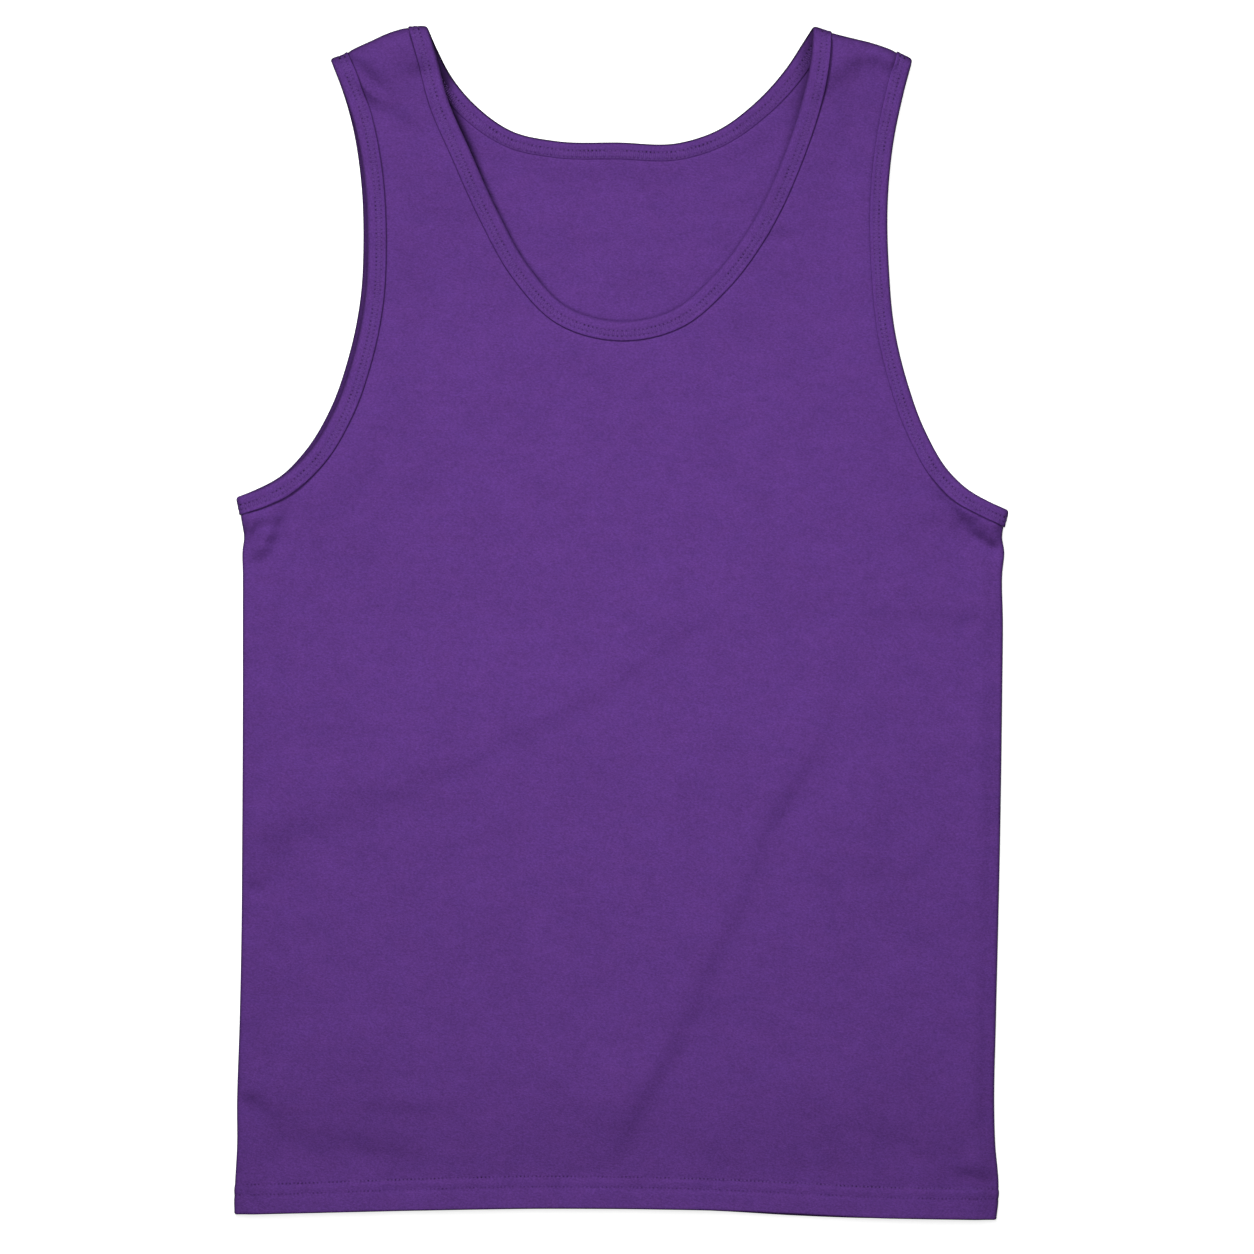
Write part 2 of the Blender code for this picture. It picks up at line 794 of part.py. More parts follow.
def spread(panel):
    """A panel's cloth, spread out: its points and its triangles."""
    sheet = Sheet()
    rows = {
        side: [side_row(panel, side, n) for n in range(len(PANEL_DEPTHS))]
        for side in (-1, 1)
    }
    tops = {
        side: [shoulder_row(panel, side, n) for n in range(len(PANEL_DEPTHS))]
        for side in (-1, 1)
    }
    ends = len(PANEL_DEPTHS)
    raw = {}
    for edge in EDGES[panel]:
        points, into = STATIONS[panel][edge]
        raw[edge] = [tuple(p) for p in points + into * RAW_EDGE]
    # The raw edges end on the first and last points of the folded rows.
    for side in (-1, 1):
        for n in range(ends):
            raw[side][n] = rows[side][n][0]
            raw[side][-1 - n] = tops[side][n][0]
            raw["neck"][n if side < 0 else -1 - n] = tops[side][n][-1]
    for edge in raw:
        sheet.line(raw[edge])
    for side in (-1, 1):
        for row in (*rows[side], *tops[side]):
            sheet.line(row)
    # Rows across the hem, joined to the rows down the sides.
    across = len(hem_rows()) + 1
    inner = [rows[side][-1][-1][0] for side in (-1, 1)]
    count = int(round((inner[1] - inner[0]) / SEAM_STEP))
    columns = np.linspace(inner[0], inner[1], count + 1)[1:-1]
    for n in range(across):
        left = [row[n - across] for row in rows[-1]]
        right = [row[n - across] for row in rows[1]][::-1]
        if n == 0:
            middle = [
                (x, float(hem_y(panel, x)) + HEM_DEPTH + 1.5) for x in columns
            ]
        else:
            middle = [hem_point(panel, x, hem_rows()[n - 1]) for x in columns]
        sheet.line([*left, *middle, *right])
    fixed = len(sheet.points)
    # Rows beside the bound edges, where the cloth comes down off the binding.
    for edge in EDGES[panel]:
        points, into = STATIONS[panel][edge]
        body = slice(ends, -ends)
        for reach, skip in ((RISE_FROM, 1), (RISE_TO, 2)):
            row = (points + into * reach)[body][::skip]
            for point in sheet.far_enough(row, 5.0):
                sheet.add(point)
    if panel == "front":
        for point in sheet.far_enough(fold_points(), 4.5):
            sheet.add(tuple(point))
    step = FRONT_STEP if panel == "front" else BACK_STEP
    lines = np.arange(-330.0, 345.0, step * 0.866)
    grid = np.array(
        [
            (x + (step / 2 if n % 2 else 0.0), y)
            for n, y in enumerate(lines)
            for x in np.arange(-240.0, 240.0, step)
        ]
    )
    low = grid[:, 1] > hem_y(panel, grid[:, 0]) + HEM_DEPTH + 8.0
    grid = sheet.far_enough(grid[low], 0.6 * step)
    for point in grid:
        sheet.add(point)
    points, _, faces = delaunay_2d_cdt(
        [Vector(p) for p in sheet.points], sheet.lines, [], 1, 1e-4
    )[:3]
    # Grid points outside the outline belong to no triangle and are dropped.
    used = sorted({i for face in faces for i in face})
    place = {old: new for new, old in enumerate(used)}
    return (
        np.array([tuple(points[i]) for i in used]),
        [tuple(place[i] for i in face) for face in faces],
    )


def closed_wall(outer, inner, faces):
    """Faces of a wall between two skins that share one set of triangles."""
    count = len(outer)
    sides = {}
    for face in faces:
        for a, b in zip(face, face[1:] + face[:1]):
            sides[a, b] = True
    wall = [tuple(face) for face in faces]
    wall += [tuple(i + count for i in reversed(face)) for face in faces]
    for a, b in sides:
        if (b, a) not in sides:
            wall += [(b, a, a + count), (b, a + count, b + count)]
    return np.vstack([outer, inner]), wall


def panel_piece(panel):
    points, faces = spread(panel)
    outer = cloth(panel, points, np.full(len(points), WALL / 2))
    inner = cloth(panel, points, np.full(len(points), -WALL / 2))
    return closed_wall(outer, inner, faces)


# --- bindings -------------------------------------------------------------------
def binding_section(width):
    """A binding's folded section: into the cloth, out from its middle."""
    top, inside = PLY + WALL / 2, PLY - WALL / 2
    return [
        (width, top),
        (RAW_EDGE, top),
        (0.3, 0.75 * top),
        (0.0, 0.0),
        (0.3, -0.75 * top),
        (RAW_EDGE, -top),
        (width, -top),
        (width, -inside),
        (BIND_WALL, -inside),
        (BIND_WALL, inside),
        (width, inside),
    ]


def binding_rings(panel, edge, width):
    points, into = STATIONS[panel][edge]
    rings = []
    for reach, out in binding_section(width):
        rings.append(
            cloth(panel, points + into * reach, np.full(len(points), out))
        )
    return np.stack(rings, axis=1)


def binding_piece(edge, width):
    """One closed ring: along the front's edge and back along the back's."""
    front = binding_rings("front", edge, width)
    back = binding_rings("back", edge, width)[::-1]
    rings = np.concatenate([front, back[1:-1]])
    count, size = rings.shape[:2]
    faces = []
    for i in range(count):
        j = (i + 1) % count
        for k in range(size):
            m = (k + 1) % size
            a, b = i * size + k, i * size + m
            c, d = j * size + m, j * size + k
            faces += [(a, b, c), (a, c, d)]
    return rings.reshape(-1, 3), faces


# --- building ---------------------------------------------------------------------
def volume(points, faces):
    a, b, c = (points[[face[i] for face in faces]] for i in range(3))
    return float((np.cross(a, b) * c).sum() / 6.0)


def make_object(name, points, faces, material):
    if volume(points, faces) < 0:
        faces = [tuple(reversed(face)) for face in faces]
    mesh = bpy.data.meshes.new(name)
    mesh.from_pydata([tuple(p) for p in points * MM], [], faces)
    work = bmesh.new()
    work.from_mesh(mesh)
    bmesh.ops.remove_doubles(work, verts=work.verts, dist=1e-7)
    work.to_mesh(mesh)
    work.free()
    mesh.shade_smooth()
    mesh.set_sharp_from_angle(angle=np.radians(40.0))
    mesh.materials.append(material)
    piece = bpy.data.objects.new(name, mesh)
    bpy.context.scene.collection.objects.link(piece)
    return piece


def jersey():
    material = bpy.data.materials.new("cotton_jersey")
    material.use_nodes = True
    shader = material.node_tree.nodes["Principled BSDF"]
    shader.inputs["Base Color"].default_value = CLOTH_COLOUR
    shader.inputs["Roughness"].default_value = CLOTH_ROUGHNESS
    shader.inputs["Metallic"].default_value = 0.0
    material.diffuse_color = CLOTH_COLOUR
    return material


def main():
    for old in list(bpy.data.objects):
        bpy.data.objects.remove(old)
    pieces = {
        "front": panel_piece("front"),
        "back": panel_piece("back"),
        "neck_binding": binding_piece("neck", NECK_WIDTH),
        "armhole_binding_left": binding_piece(1, LEFT_WIDTH),
        "armhole_binding_right": binding_piece(-1, RIGHT_WIDTH),
    }
    # The origin is under the middle of the garment, on the surface.
    everything = np.vstack([points for points, _ in pieces.values()])
    low, high = everything.min(axis=0), everything.max(axis=0)
    origin = np.array([(low[0] + high[0]) / 2, (low[1] + high[1]) / 2, low[2]])
    material = jersey()
    for name, (points, faces) in pieces.items():
        make_object(name, points - origin, faces, material)


main()
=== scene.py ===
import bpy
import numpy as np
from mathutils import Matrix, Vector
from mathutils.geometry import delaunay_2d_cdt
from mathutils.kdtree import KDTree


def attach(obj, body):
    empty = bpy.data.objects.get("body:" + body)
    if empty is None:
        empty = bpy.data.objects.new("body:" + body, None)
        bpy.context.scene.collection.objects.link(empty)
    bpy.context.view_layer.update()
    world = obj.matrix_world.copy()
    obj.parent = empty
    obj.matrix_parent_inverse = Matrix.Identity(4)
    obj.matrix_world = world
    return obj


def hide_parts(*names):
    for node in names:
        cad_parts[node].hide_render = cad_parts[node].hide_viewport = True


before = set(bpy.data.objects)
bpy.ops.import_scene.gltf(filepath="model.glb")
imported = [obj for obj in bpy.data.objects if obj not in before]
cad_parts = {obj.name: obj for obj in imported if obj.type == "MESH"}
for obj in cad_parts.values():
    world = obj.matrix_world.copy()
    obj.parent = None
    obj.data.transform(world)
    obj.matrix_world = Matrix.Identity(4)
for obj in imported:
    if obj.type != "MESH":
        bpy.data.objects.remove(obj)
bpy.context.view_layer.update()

# The looks of a cotton tank top, laid flat on its back.
#
# Each CAD node is replaced by the same piece of cloth made much finer: panels
# with their folds, puckers and turned-up hems, bindings with their rolled edges,
# and the thread of every seam that shows. All of it comes from one map, cloth(),
# which takes a point of a panel spread out flat and says where it lies on the
# garment. Tables and sizes are in millimetres, meshes in metres. -1 and 1 stand
# for the photo's left and right.

MM = 0.001
ORIGIN = np.array([-0.300, 0.415, 0.0])  # the part's origin in the tables' frame
PANELS = ("front", "back")

# --- cloth, as in the part ---
WALL = 1.0  # thickness of one layer
GAP = 0.35  # between two pieces at a seam
PLY = WALL + GAP
FOLD_R = 1.5 * PLY  # middle of a panel round a side or shoulder fold
HEM_R = 0.5 * PLY  # middle of a panel round its hem's turn
HEM_DEPTH = 20.0  # bottom edge to the raw edge of the turned-up cloth
HEM_EDGE = HEM_R + WALL / 2  # bottom edge to where the turn starts
HEM_STOP = 30.0  # the turned-up cloth stops here in a side's fold, degrees
WIDTHS = {"neck": 11.6, 1: 10.6, -1: 11.2}  # of the bindings
BIND_WALL = 1.2  # cloth of a binding across its folded edge
RAW_EDGE = BIND_WALL + GAP  # binding's folded edge to the panel's raw edge inside it
BACK_REST = WALL / 2  # middle of the back over the surface
BACK_RISE = PLY  # the back stands on the binding's lower layer beside its edges
FRONT_REST = 3.0  # middle of the front
EDGE_LIFT = 2 * FOLD_R  # front over back wherever the two are joined
RISE_FROM, RISE_TO = 12.5, 25.0  # from a bound edge: full rise, none
SETTLE_FROM, SETTLE_TO = 14.0, 48.0  # from an edge: the front comes down to its rest
BODY_TO, STRAPS_FROM = 150.0, 250.0  # heights y of the side and the shoulder folds
SIDE_AT_HEM = 229.0  # from the middle to a side
HEM_START = 300.0  # makes a distance along the hem out of x

# --- fineness ---
FOLD_TURNS = np.linspace(90.0, 0.0, 7)  # rows of points in a side's fold, degrees
EDGE_STEP = 1.5  # along a binding
SEAM_STEP = 3.0  # along a side, a shoulder or a hem
GRID_STEP = {"front": 3.1, "back": 4.4}
MAP_STEP = 1.5  # of the height maps
# Rows of the hem above its turn, up from the bottom edge, and past its start.
HEM_LINES = (21.5, 20.0, 18.6, 17.2, 15.6, 14.0, 12.6, 11.2, 9.4, 7.4, 5.4, 3.6, 2.2)
HEM_ROWS = [
    *np.linspace(0.0, np.pi * HEM_R, 9),
    *np.linspace(np.pi * HEM_R, np.pi * HEM_R + HEM_DEPTH - HEM_EDGE, 6)[1:],
]

# --- sewing ---
PITCH = 2.35
HEM_NEEDLES = (18.8, 12.6)  # needle rows, up from the bottom edge
NEEDLES = (0.49, 0.77)  # a binding's needle rows, as shares of its width
HOLES = (1.05, 0.70)  # how clear the holes of the outer and of the inner row are
# Points of a stitch along its pitch, and their heights over the cloth.
SPAN = np.array([0.06, 0.24, 0.50, 0.76, 0.94])
LIE = np.array([-0.20, 0.02, 0.06, 0.02, -0.20])
COVER_LIE = np.array([-0.16, -0.02, 0.0, -0.02, -0.16])  # of the cover thread
# Depth and breadth of the dents of needle rows, and of the groove beside a binding.
HEM_DENTS, HEM_DENT_WIDE = (0.13, 0.22), 0.75
BINDING_DENT, BINDING_DENT_WIDE = 0.09, 0.6
GROOVE, GROOVE_WIDE = {"front": 0.34, "back": 0.15}, 0.5
HEM_SINK = {"front": 0.17, "back": 0.30}  # of the hem's thread into the cloth
# Added to the distance from each binding, for the painted shade line in the ditch beside it:
# above 0 the line is fainter, below 0 it is darkest a little way off the binding.
SEAM_OFF = {"neck": 0.05, -1: -0.25, 1: 0.26}
# Where that line is wider: distance along the edge, reach, and by how much.
SEAM_WIDE = {"neck": (426.0, 24.0, 1.1), -1: (30.0, 14.0, 0.8), 1: (36.0, 14.0, 0.9)}
# Painted shade along folded edges: its darkness and breadth. Then along the bindings' outer edges.
RIM_SHADES = {"left": (0.52, 1.5), "right": (0.34, 1.5), "shoulder": (1.0, 2.1), "hem": (0.60, 0.6)}
BOUND_RIM = {-1: 0.36, 1: 0.58, "neck": 0.22, "neck end": 0.40}
BOUND_RIM_WIDE = 1.1

# --- outline, as in the part ---
# Sides of the body: height y, left edge x, right edge x.
SIDES = np.array([
    (-360, -233.7, 225.5), (-340, -233.3, 226.9), (-312, -231.9, 224.8), (-293, -232, 224.3),
    (-239, -230.4, 225.3), (-185, -229.3, 226.6), (-130, -228.9, 227.8), (-40, -228.5, 229.1),
    (2, -228.5, 229.5), (30, -228.5, 229.1), (44, -228.7, 230.3), (53, -227.7, 228.9),
    (58, -228.5, 229.9),
])
# Bottom edge: across x, front y, back y.
HEM = np.array([
    (-240, -356.1, -355.6), (-190, -354.9, -354.4), (-120, -353.3, -352.7), (-50, -352.2, -351.7),
    (10, -352.5, -352.3), (60, -353.5, -354.2), (105, -355.6, -356.8), (150, -357.8, -358.4),
    (190, -358.6, -358.2), (235, -359.4, -358.8),
])
# Shoulders, armhole end to neck end, of the photo's left and right: x, y.
SHOULDERS = {
    -1: np.array([
        (-175.4, 338.9), (-167.5, 342.2), (-162.8, 345.4), (-157.5, 348.1), (-151, 351.1), (-140, 356),
        (-129.5, 358.7), (-117, 358.8),
    ]),
    1: np.array([
        (174.7, 338.7), (162.5, 345.4), (150.5, 349.8), (139.5, 352.5), (127.5, 355.4), (114.8, 358.8),
    ]),
}
# Bound edges, each from one seam to the next: x, y.
EDGE_POINTS = {
    ("front", "neck"): [
        (-111.6, 341), (-104.9, 315.7), (-91.7, 285), (-75, 248), (-55.7, 214), (-33, 190.5),
        (0, 181.8), (30, 188.4), (56, 210.3), (79, 242.1), (97, 280.5), (108.5, 315), (113.6, 340),
    ],
    ("back", "neck"): [
        (-111.2, 345.6), (-102.3, 328.9), (-87.1, 311.2), (-66, 296.6), (-40, 290.8), (-2, 289.9),
        (34, 289.6), (57, 297), (79.6, 313.3), (98.9, 334.6), (109, 350),
    ],
    ("front", -1): [
        (-221, 79.6), (-205.5, 87.6), (-189, 102.3), (-173.6, 127), (-162, 159), (-154.8, 195),
        (-153.2, 231), (-155, 267.5), (-161, 300), (-168, 321),
    ],
    ("back", -1): [
        (-221.3, 80.5), (-206, 88.7), (-190.5, 104.6), (-176.1, 128.7), (-165, 160), (-157.8, 195),
        (-155.9, 231.2), (-157.4, 267.4), (-162.5, 300), (-168.5, 321),
    ],
    ("front", 1): [
        (221, 73.4), (208.6, 80.5), (196, 92.6), (182.5, 116), (171.3, 146.8), (164.5, 175),
        (160.6, 215), (160.2, 258.4), (163.2, 288), (169.5, 319),
    ],
    ("back", 1): [
        (220.6, 72.8), (207.8, 79.4), (194.8, 91.8), (181, 115.5), (169.8, 146.5), (163, 175),
        (159.2, 215), (158.9, 258.4), (162.4, 288), (169.1, 319),
    ],
}
UNDERARM_Y = {-1: 76.2, 1: 68.2}  # where an armhole's edge meets the side seam

# --- forms of the cloth ---
# Folds of the front. Each is a step in the cloth along a path: it rises to a
# soft ridge on the left of the way along, and falls, over the narrow width, to
# a shallow trough on the right. Path points are x, y, drop and narrow width, and
# the last two numbers say how far the ridge and the trough reach.
FOLDS = [
    # the long fold from the left side up to the middle
    ([
        (-228.8, -150.4, 4.1, 15.3), (-214.5, -141, 4.3, 16.1), (-192.1, -127.6, 5.2, 14.6),
        (-165.5, -115.6, 2.4, 10), (-132.9, -101.6, 1.7, 6.2), (-102.6, -88.9, 1.8, 5.5),
        (-71.2, -72.5, 0.9, 4), (-45.2, -58.7, 1.1, 3.4), (-18.6, -45.4, 1.1, 3.2),
        (11.7, -25, 0.9, 2.6), (37.1, -7.4, 1.3, 2.5), (64.2, 9.4, 0.3, 2.5),
    ], 30, 24),
    # the long fold from the hem up to the right
    ([
        (-15.9, -341.3, 0.7, 6), (-5, -321.6, 1.6, 6.3), (7.5, -299.3, 3.3, 6.5), (21, -274, 4.6, 6),
        (34.4, -250.1, 2.6, 5.2), (45.7, -229.5, 2.8, 6), (56.4, -203.9, 3, 6.2),
        (68.7, -177.2, 2, 5.2), (79.6, -151.5, 2.2, 5.2), (88.9, -127.4, 3.7, 6),
        (100.4, -104.7, 3.3, 5.5), (115.1, -79.5, 2, 4.8), (125.1, -56, 1.1, 4.5),
        (131.8, -15.2, 0.4, 4.2),
    ], 22, 20),
    # in from the right side
    ([
        (140.7, 0.4, 0.1, 3.1), (154.3, 6.5, 1.1, 3.1), (170.7, 4.8, 1, 3.8), (184.4, 4.8, 1.8, 5.1),
        (200.5, 5.1, 2.9, 8.4), (214.5, -0.3, 2.5, 7.8), (230.2, -2.2, 1.6, 6.6),
    ], 16, 14),
    # left underarm: a faint one, and two short ones
    ([
        (-229.5, 68, 0.3, 4.2), (-217.5, 69, 0.8, 4.8), (-208, 70.5, 0.8, 5), (-199, 73, 0.3, 5),
    ], 8, 9),
    ([
        (-225, 38.6, 4.5, 4.6), (-218.4, 41, 8, 5), (-212.4, 45.6, 11.5, 5), (-208.4, 53.5, 10, 5.2),
        (-206, 62.5, 8.2, 5.6), (-204, 71, 4.6, 5.2),
    ], 9, 8),
    ([
        (-229.8, 45, 12, 3.4), (-225, 50.8, 15, 3.8), (-220.6, 57, 13, 4.2), (-216.6, 62.6, 6.6, 4),
        (-213, 67, 2, 4),
    ], 7, 6),
    # the sharp one under the right arm
    ([
        (185, 63.5, 2.2, 8), (195.6, 62.6, 5.5, 8.4), (204, 60.4, 8.5, 7.4), (212, 56.8, 10, 5.8),
        (221, 51.6, 8, 3.9), (230.1, 45.4, 5, 2.4),
    ], 15, 12),
    # bottom left corner, and a faint one above it
    ([
        (-233, -284.6, 2.6, 3.6), (-224.5, -285.6, 3.3, 3.8), (-212.8, -291, 2.6, 5),
        (-203, -301, 1.3, 7), (-193.7, -308.2, 1.7, 8.4), (-165, -314, 2.1, 8.4),
        (-138, -316.5, 1.5, 7), (-115.9, -319.4, 0.2, 6.5),
    ], 17, 10),
    ([
        (-150.8, -290.9, 0.6, 4), (-127.8, -291.6, 1.8, 4.5), (-103.7, -289.7, 0.4, 4),
    ], 12, 10),
    # bottom right corner
    ([
        (119, -296, 0.5, 10.5), (146, -305, 2.2, 11.5), (170, -311, 2.8, 11.5), (190, -320.5, 1.8, 9),
        (200, -327.4, 1.7, 4.8), (212.5, -333, 3.8, 3.6), (225.7, -335.6, 2.6, 3.4),
    ], 24, 10),
    # lower middle
    ([
        (-59.7, -261.4, 0.5, 4), (-37.9, -283.1, 1, 4), (-11.4, -302.4, 0.4, 4),
    ], 14, 12),
    # left strap, and beside the neck
    ([
        (-165, 344.4, 5.5, 2.4), (-156.5, 336.2, 5.2, 2.6), (-147.2, 326.4, 6.2, 3.4),
        (-139.8, 318, 6.4, 5), (-131.5, 310.4, 3, 6),
    ], 16, 8),
    ([
        (-131, 331.5, 0.8, 3.4), (-124.5, 333.4, 5.5, 3.6), (-115, 335.4, 5.5, 3.4),
    ], 10, 9),
    # right strap
    ([
        (117, 317.4, 2.6, 4.8), (127, 326.2, 3.4, 5), (138.3, 333.8, 2.7, 5.2), (147, 340, 6.4, 4.8),
        (153, 340.6, 10, 4.2), (158.8, 336.8, 7.5, 3.4), (164, 334, 5, 3.2),
    ], 16, 12),
    # a faint one beside the neck
    ([
        (90, 235.1, 1.7, 2.4), (101.3, 235.6, 1.2, 2.8), (116.6, 240.7, 0.4, 3.6),
    ], 9, 9),
    # a pucker at the left side
    ([
        (-231.5, -158.5, 3, 2.6), (-224, -157.5, 3.2, 3), (-216, -154, 0.8, 3.2),
    ], 8, 8),
    # the crease that the right arm's fold ends in
    ([
        (207, 57.8, 0.8, 2.4), (212, 55.6, 3, 2), (218.9, 50.4, 4, 1.7), (224.3, 47.2, 4.5, 1.4),
        (230, 44.4, 4.5, 1.3),
    ], 5, 4),
    # along the right arm's binding
    ([
        (181.5, 94, 1, 3.6), (188.5, 82, 5, 4.2), (199, 71, 11, 5), (207, 65.5, 11, 4.6),
        (214.5, 61.8, 4, 4),
    ], 8, 8),
    # the left strap's second fold
    ([
        (-158.6, 322.4, 6, 2.6), (-152, 317, 8.4, 3), (-145.9, 312.6, 7.6, 3.8), (-137.3, 307.6, 4, 5),
        (-128.7, 301, 3.6, 5), (-121, 295, 1.2, 5),
    ], 6, 10),
]
RIDGE_SHARE = 0.54  # of a fold's drop, in its ridge
FOLD_WAVER = 0.18  # of a fold's line, as a share of its narrow width
SIDE_ROLL = 1.5  # height of the soft roll beside the side folds
# Lift of the front above its rest, by the distance up from the hem's edge.
LOW_BODY = np.array([
    (-40, 5.6), (0, 3.9), (20, 1.6), (36, 1.85), (55, 2.3), (80, 1.8), (110, 0.8), (150, 0.1),
    (180, 0), (220, 0),
])
# Broad swells of the front over trapped air: x, y, height, reach.
SWELLS = [
    (-150, -262, 2.2, 60), (165, -255, 2.4, 64), (-20, -285, 1.4, 70), (-60, 110, 1, 90),
    (90, 60, 0.8, 80), (-150, -60, 1.2, 70), (20, -190, 1.2, 60), (150, -120, 1.2, 70),
    (-143, 352, 3.2, 34), (146, 350, 3.6, 34),
]
NECK_LIFT = (-95.0, 282.0, 5.0, 74.0)  # the neck's left edge, off the back
# Shade behind the front's neck edge: share of the edge's length from the left
# shoulder, darkness at the edge, and its reach.
NECK_SHADE = np.array([
    (0, 0.78, 12), (0.055, 0.8, 10), (0.075, 0.86, 6.5), (0.09, 0.86, 3.4), (0.105, 0.92, 3.4),
    (0.13, 0.94, 3.6), (0.16, 0.93, 3), (0.22, 0.9, 1.9), (0.3, 0.85, 1.3), (0.38, 0.6, 1.1),
    (0.5, 0.1, 1), (0.8, 0.15, 1.3), (0.92, 0.42, 5), (1, 0.62, 8),
])
ARM_SHADE = 0.45  # of the back's armhole bindings, behind the front's
STRAP_SHADE = 0.06  # of the front's straps


# --- curves ---
def fade(distance, near, far):
    """1 up to near, 0 from far, and a smooth curve between."""
    part = np.clip((distance - near) / (far - near), 0.0, 1.0)
    return 1.0 - part * part * (3.0 - 2.0 * part)


def hump(distance, reach):
    """1 at 0, and a bell curve down to both sides."""
    return np.exp(-((distance / reach) ** 2))


def unit(ways):
    """Ways in the plane, each made 1 long."""
    return ways / np.hypot(*ways.T)[..., None]


def hermite(t, p0, p1, m0, m1):
    return (
        (2 * t**3 - 3 * t**2 + 1) * p0
        + (t**3 - 2 * t**2 + t) * m0
        + (3 * t**2 - 2 * t**3) * p1
        + (t**3 - t**2) * m1
    )


def smooth(x, table_x, table_y):
    """A smooth curve through a table, straight on past its ends."""
    x = np.asarray(x, float)
    slope = np.gradient(table_y, table_x)
    i = np.clip(np.searchsorted(table_x, x) - 1, 0, len(table_x) - 2)
    length = table_x[i + 1] - table_x[i]
    t = np.clip((x - table_x[i]) / length, 0.0, 1.0)
    inside = hermite(t, table_y[i], table_y[i + 1], slope[i] * length, slope[i + 1] * length)
    before = slope[0] * np.minimum(x - table_x[0], 0.0)
    return inside + before + slope[-1] * np.maximum(x - table_x[-1], 0.0)


def run_of(curve):
    """Distance along a curve at each of its points."""
    return np.concatenate([[0.0], np.cumsum(np.hypot(*np.diff(curve, axis=0).T))])


def through(points, step=0.5):
    """A smooth curve through points, given back as close-set points."""
    points = np.asarray(points, float)
    run = run_of(points)
    slope = np.gradient(points, run, axis=0)
    curve = []
    for i, length in enumerate(np.diff(run)):
        t = np.linspace(0.0, 1.0, max(2, int(length / step)))[:-1, None]
        ends = (points[i], points[i + 1], length * slope[i], length * slope[i + 1])
        curve.append(hermite(t, *ends))
    return np.vstack([*curve, points[-1:]])


def along(curve, at):
    """Points at distances along a curve."""
    run = run_of(curve)
    return np.column_stack([np.interp(at, run, curve[:, i]) for i in (0, 1)])


def right_of(curve, at):
    """Ways to the right of a curve at distances along it."""
    ahead = along(curve, at + 1.0) - along(curve, at - 1.0)
    return unit(np.column_stack([ahead[:, 1], -ahead[:, 0]]))


# --- folded and bound edges ---
def side_x(side, y):
    """Middle of the cloth at its outermost, along a side."""
    return smooth(y, SIDES[:, 0], SIDES[:, 1 if side < 0 else 2]) - side * WALL / 2


def side_depths(points):
    """How far inside the left and the right side points lie."""
    x, y = points.T
    return x - side_x(-1, y), side_x(1, y) - x


def hem_y(panel, x):
    """The bottom edge."""
    return smooth(x, HEM[:, 0], HEM[:, 1 if panel == "front" else 2])


class Shoulder:
    """A shoulder's folded edge in its own axes: t along it, depth into the strap."""

    def __init__(self, side):
        table = SHOULDERS[side]
        self.origin = table[0]
        self.along = unit(table[-1] - table[0])
        self.inward = side * np.array([-self.along[1], self.along[0]])
        local = table - self.origin
        self.t = local @ self.along
        self.edge = local @ self.inward + WALL / 2

    def depth(self, points):
        local = points - self.origin
        return local @ self.inward - smooth(local @ self.along, self.t, self.edge)

    def point(self, t, depth):
        t = np.atleast_1d(np.asarray(t, float))
        into = smooth(t, self.t, self.edge) + depth
        return self.origin + np.outer(t, self.along) + np.outer(into, self.inward)

    def way(self, start, end):
        """Direction along the fold between two places on it."""
        return unit(np.subtract(*self.point([end, start], 0.0)))


SHOULDER = {side: Shoulder(side) for side in (-1, 1)}


def shoulder_depths(points):
    return [SHOULDER[side].depth(points) for side in (-1, 1)]


def fold_depth(turn):
    """Depth, on spread-out cloth, of a row turned by so many degrees."""
    return FOLD_R - FOLD_R * np.radians(turn)


SEAM_DEPTH = fold_depth(90.0)
ROW_DEPTHS = [fold_depth(turn) for turn in FOLD_TURNS]
PANEL_DEPTHS = [SEAM_DEPTH + GAP / 2, *ROW_DEPTHS[1:]]


def bound_edge(panel, edge):
    """The neck's edge, or an armhole's from the side seam to the shoulder seam."""
    if edge == "neck":
        first, last = (top.point(top.t[-1], SEAM_DEPTH)[0] for top in SHOULDER.values())
    else:
        y = UNDERARM_Y[edge]
        first = (float(side_x(edge, y)) - edge * SEAM_DEPTH, y)
        last = SHOULDER[edge].point(0.0, SEAM_DEPTH)[0]
    return through([first, *EDGE_POINTS[panel, edge], last])


EDGES = ("neck", -1, 1)
CURVES = {(panel, edge): bound_edge(panel, edge) for panel in PANELS for edge in EDGES}
LENGTHS = {key: run_of(curve)[-1] for key, curve in CURVES.items()}


# --- height maps ---
MAP_X = np.arange(-252.0, 252.1, MAP_STEP)
MAP_Y = np.arange(-381.0, 381.1, MAP_STEP)
PLAN_X, PLAN_Y = np.meshgrid(MAP_X, MAP_Y)
PLAN = np.column_stack([PLAN_X.ravel(), PLAN_Y.ravel()])
ALONG_HEM = PLAN_X + HEM_START


def as_map(values):
    return values.reshape(PLAN_X.shape)


def soft(values, size):
    """A map blurred over a size."""
    fx = np.fft.fftfreq(values.shape[1], MAP_STEP)[None, :] * size
    fy = np.fft.fftfreq(values.shape[0], MAP_STEP)[:, None] * size
    keep = np.exp(-2.0 * np.pi**2 * (fx**2 + fy**2))
    return np.fft.ifft2(np.fft.fft2(values) * keep).real


def bumps(seed, size):
    """Smooth random ground, of spread 1, with bumps of a size."""
    ground = soft(np.random.default_rng(seed).standard_normal(PLAN_X.shape), size)
    return ground / ground.std()


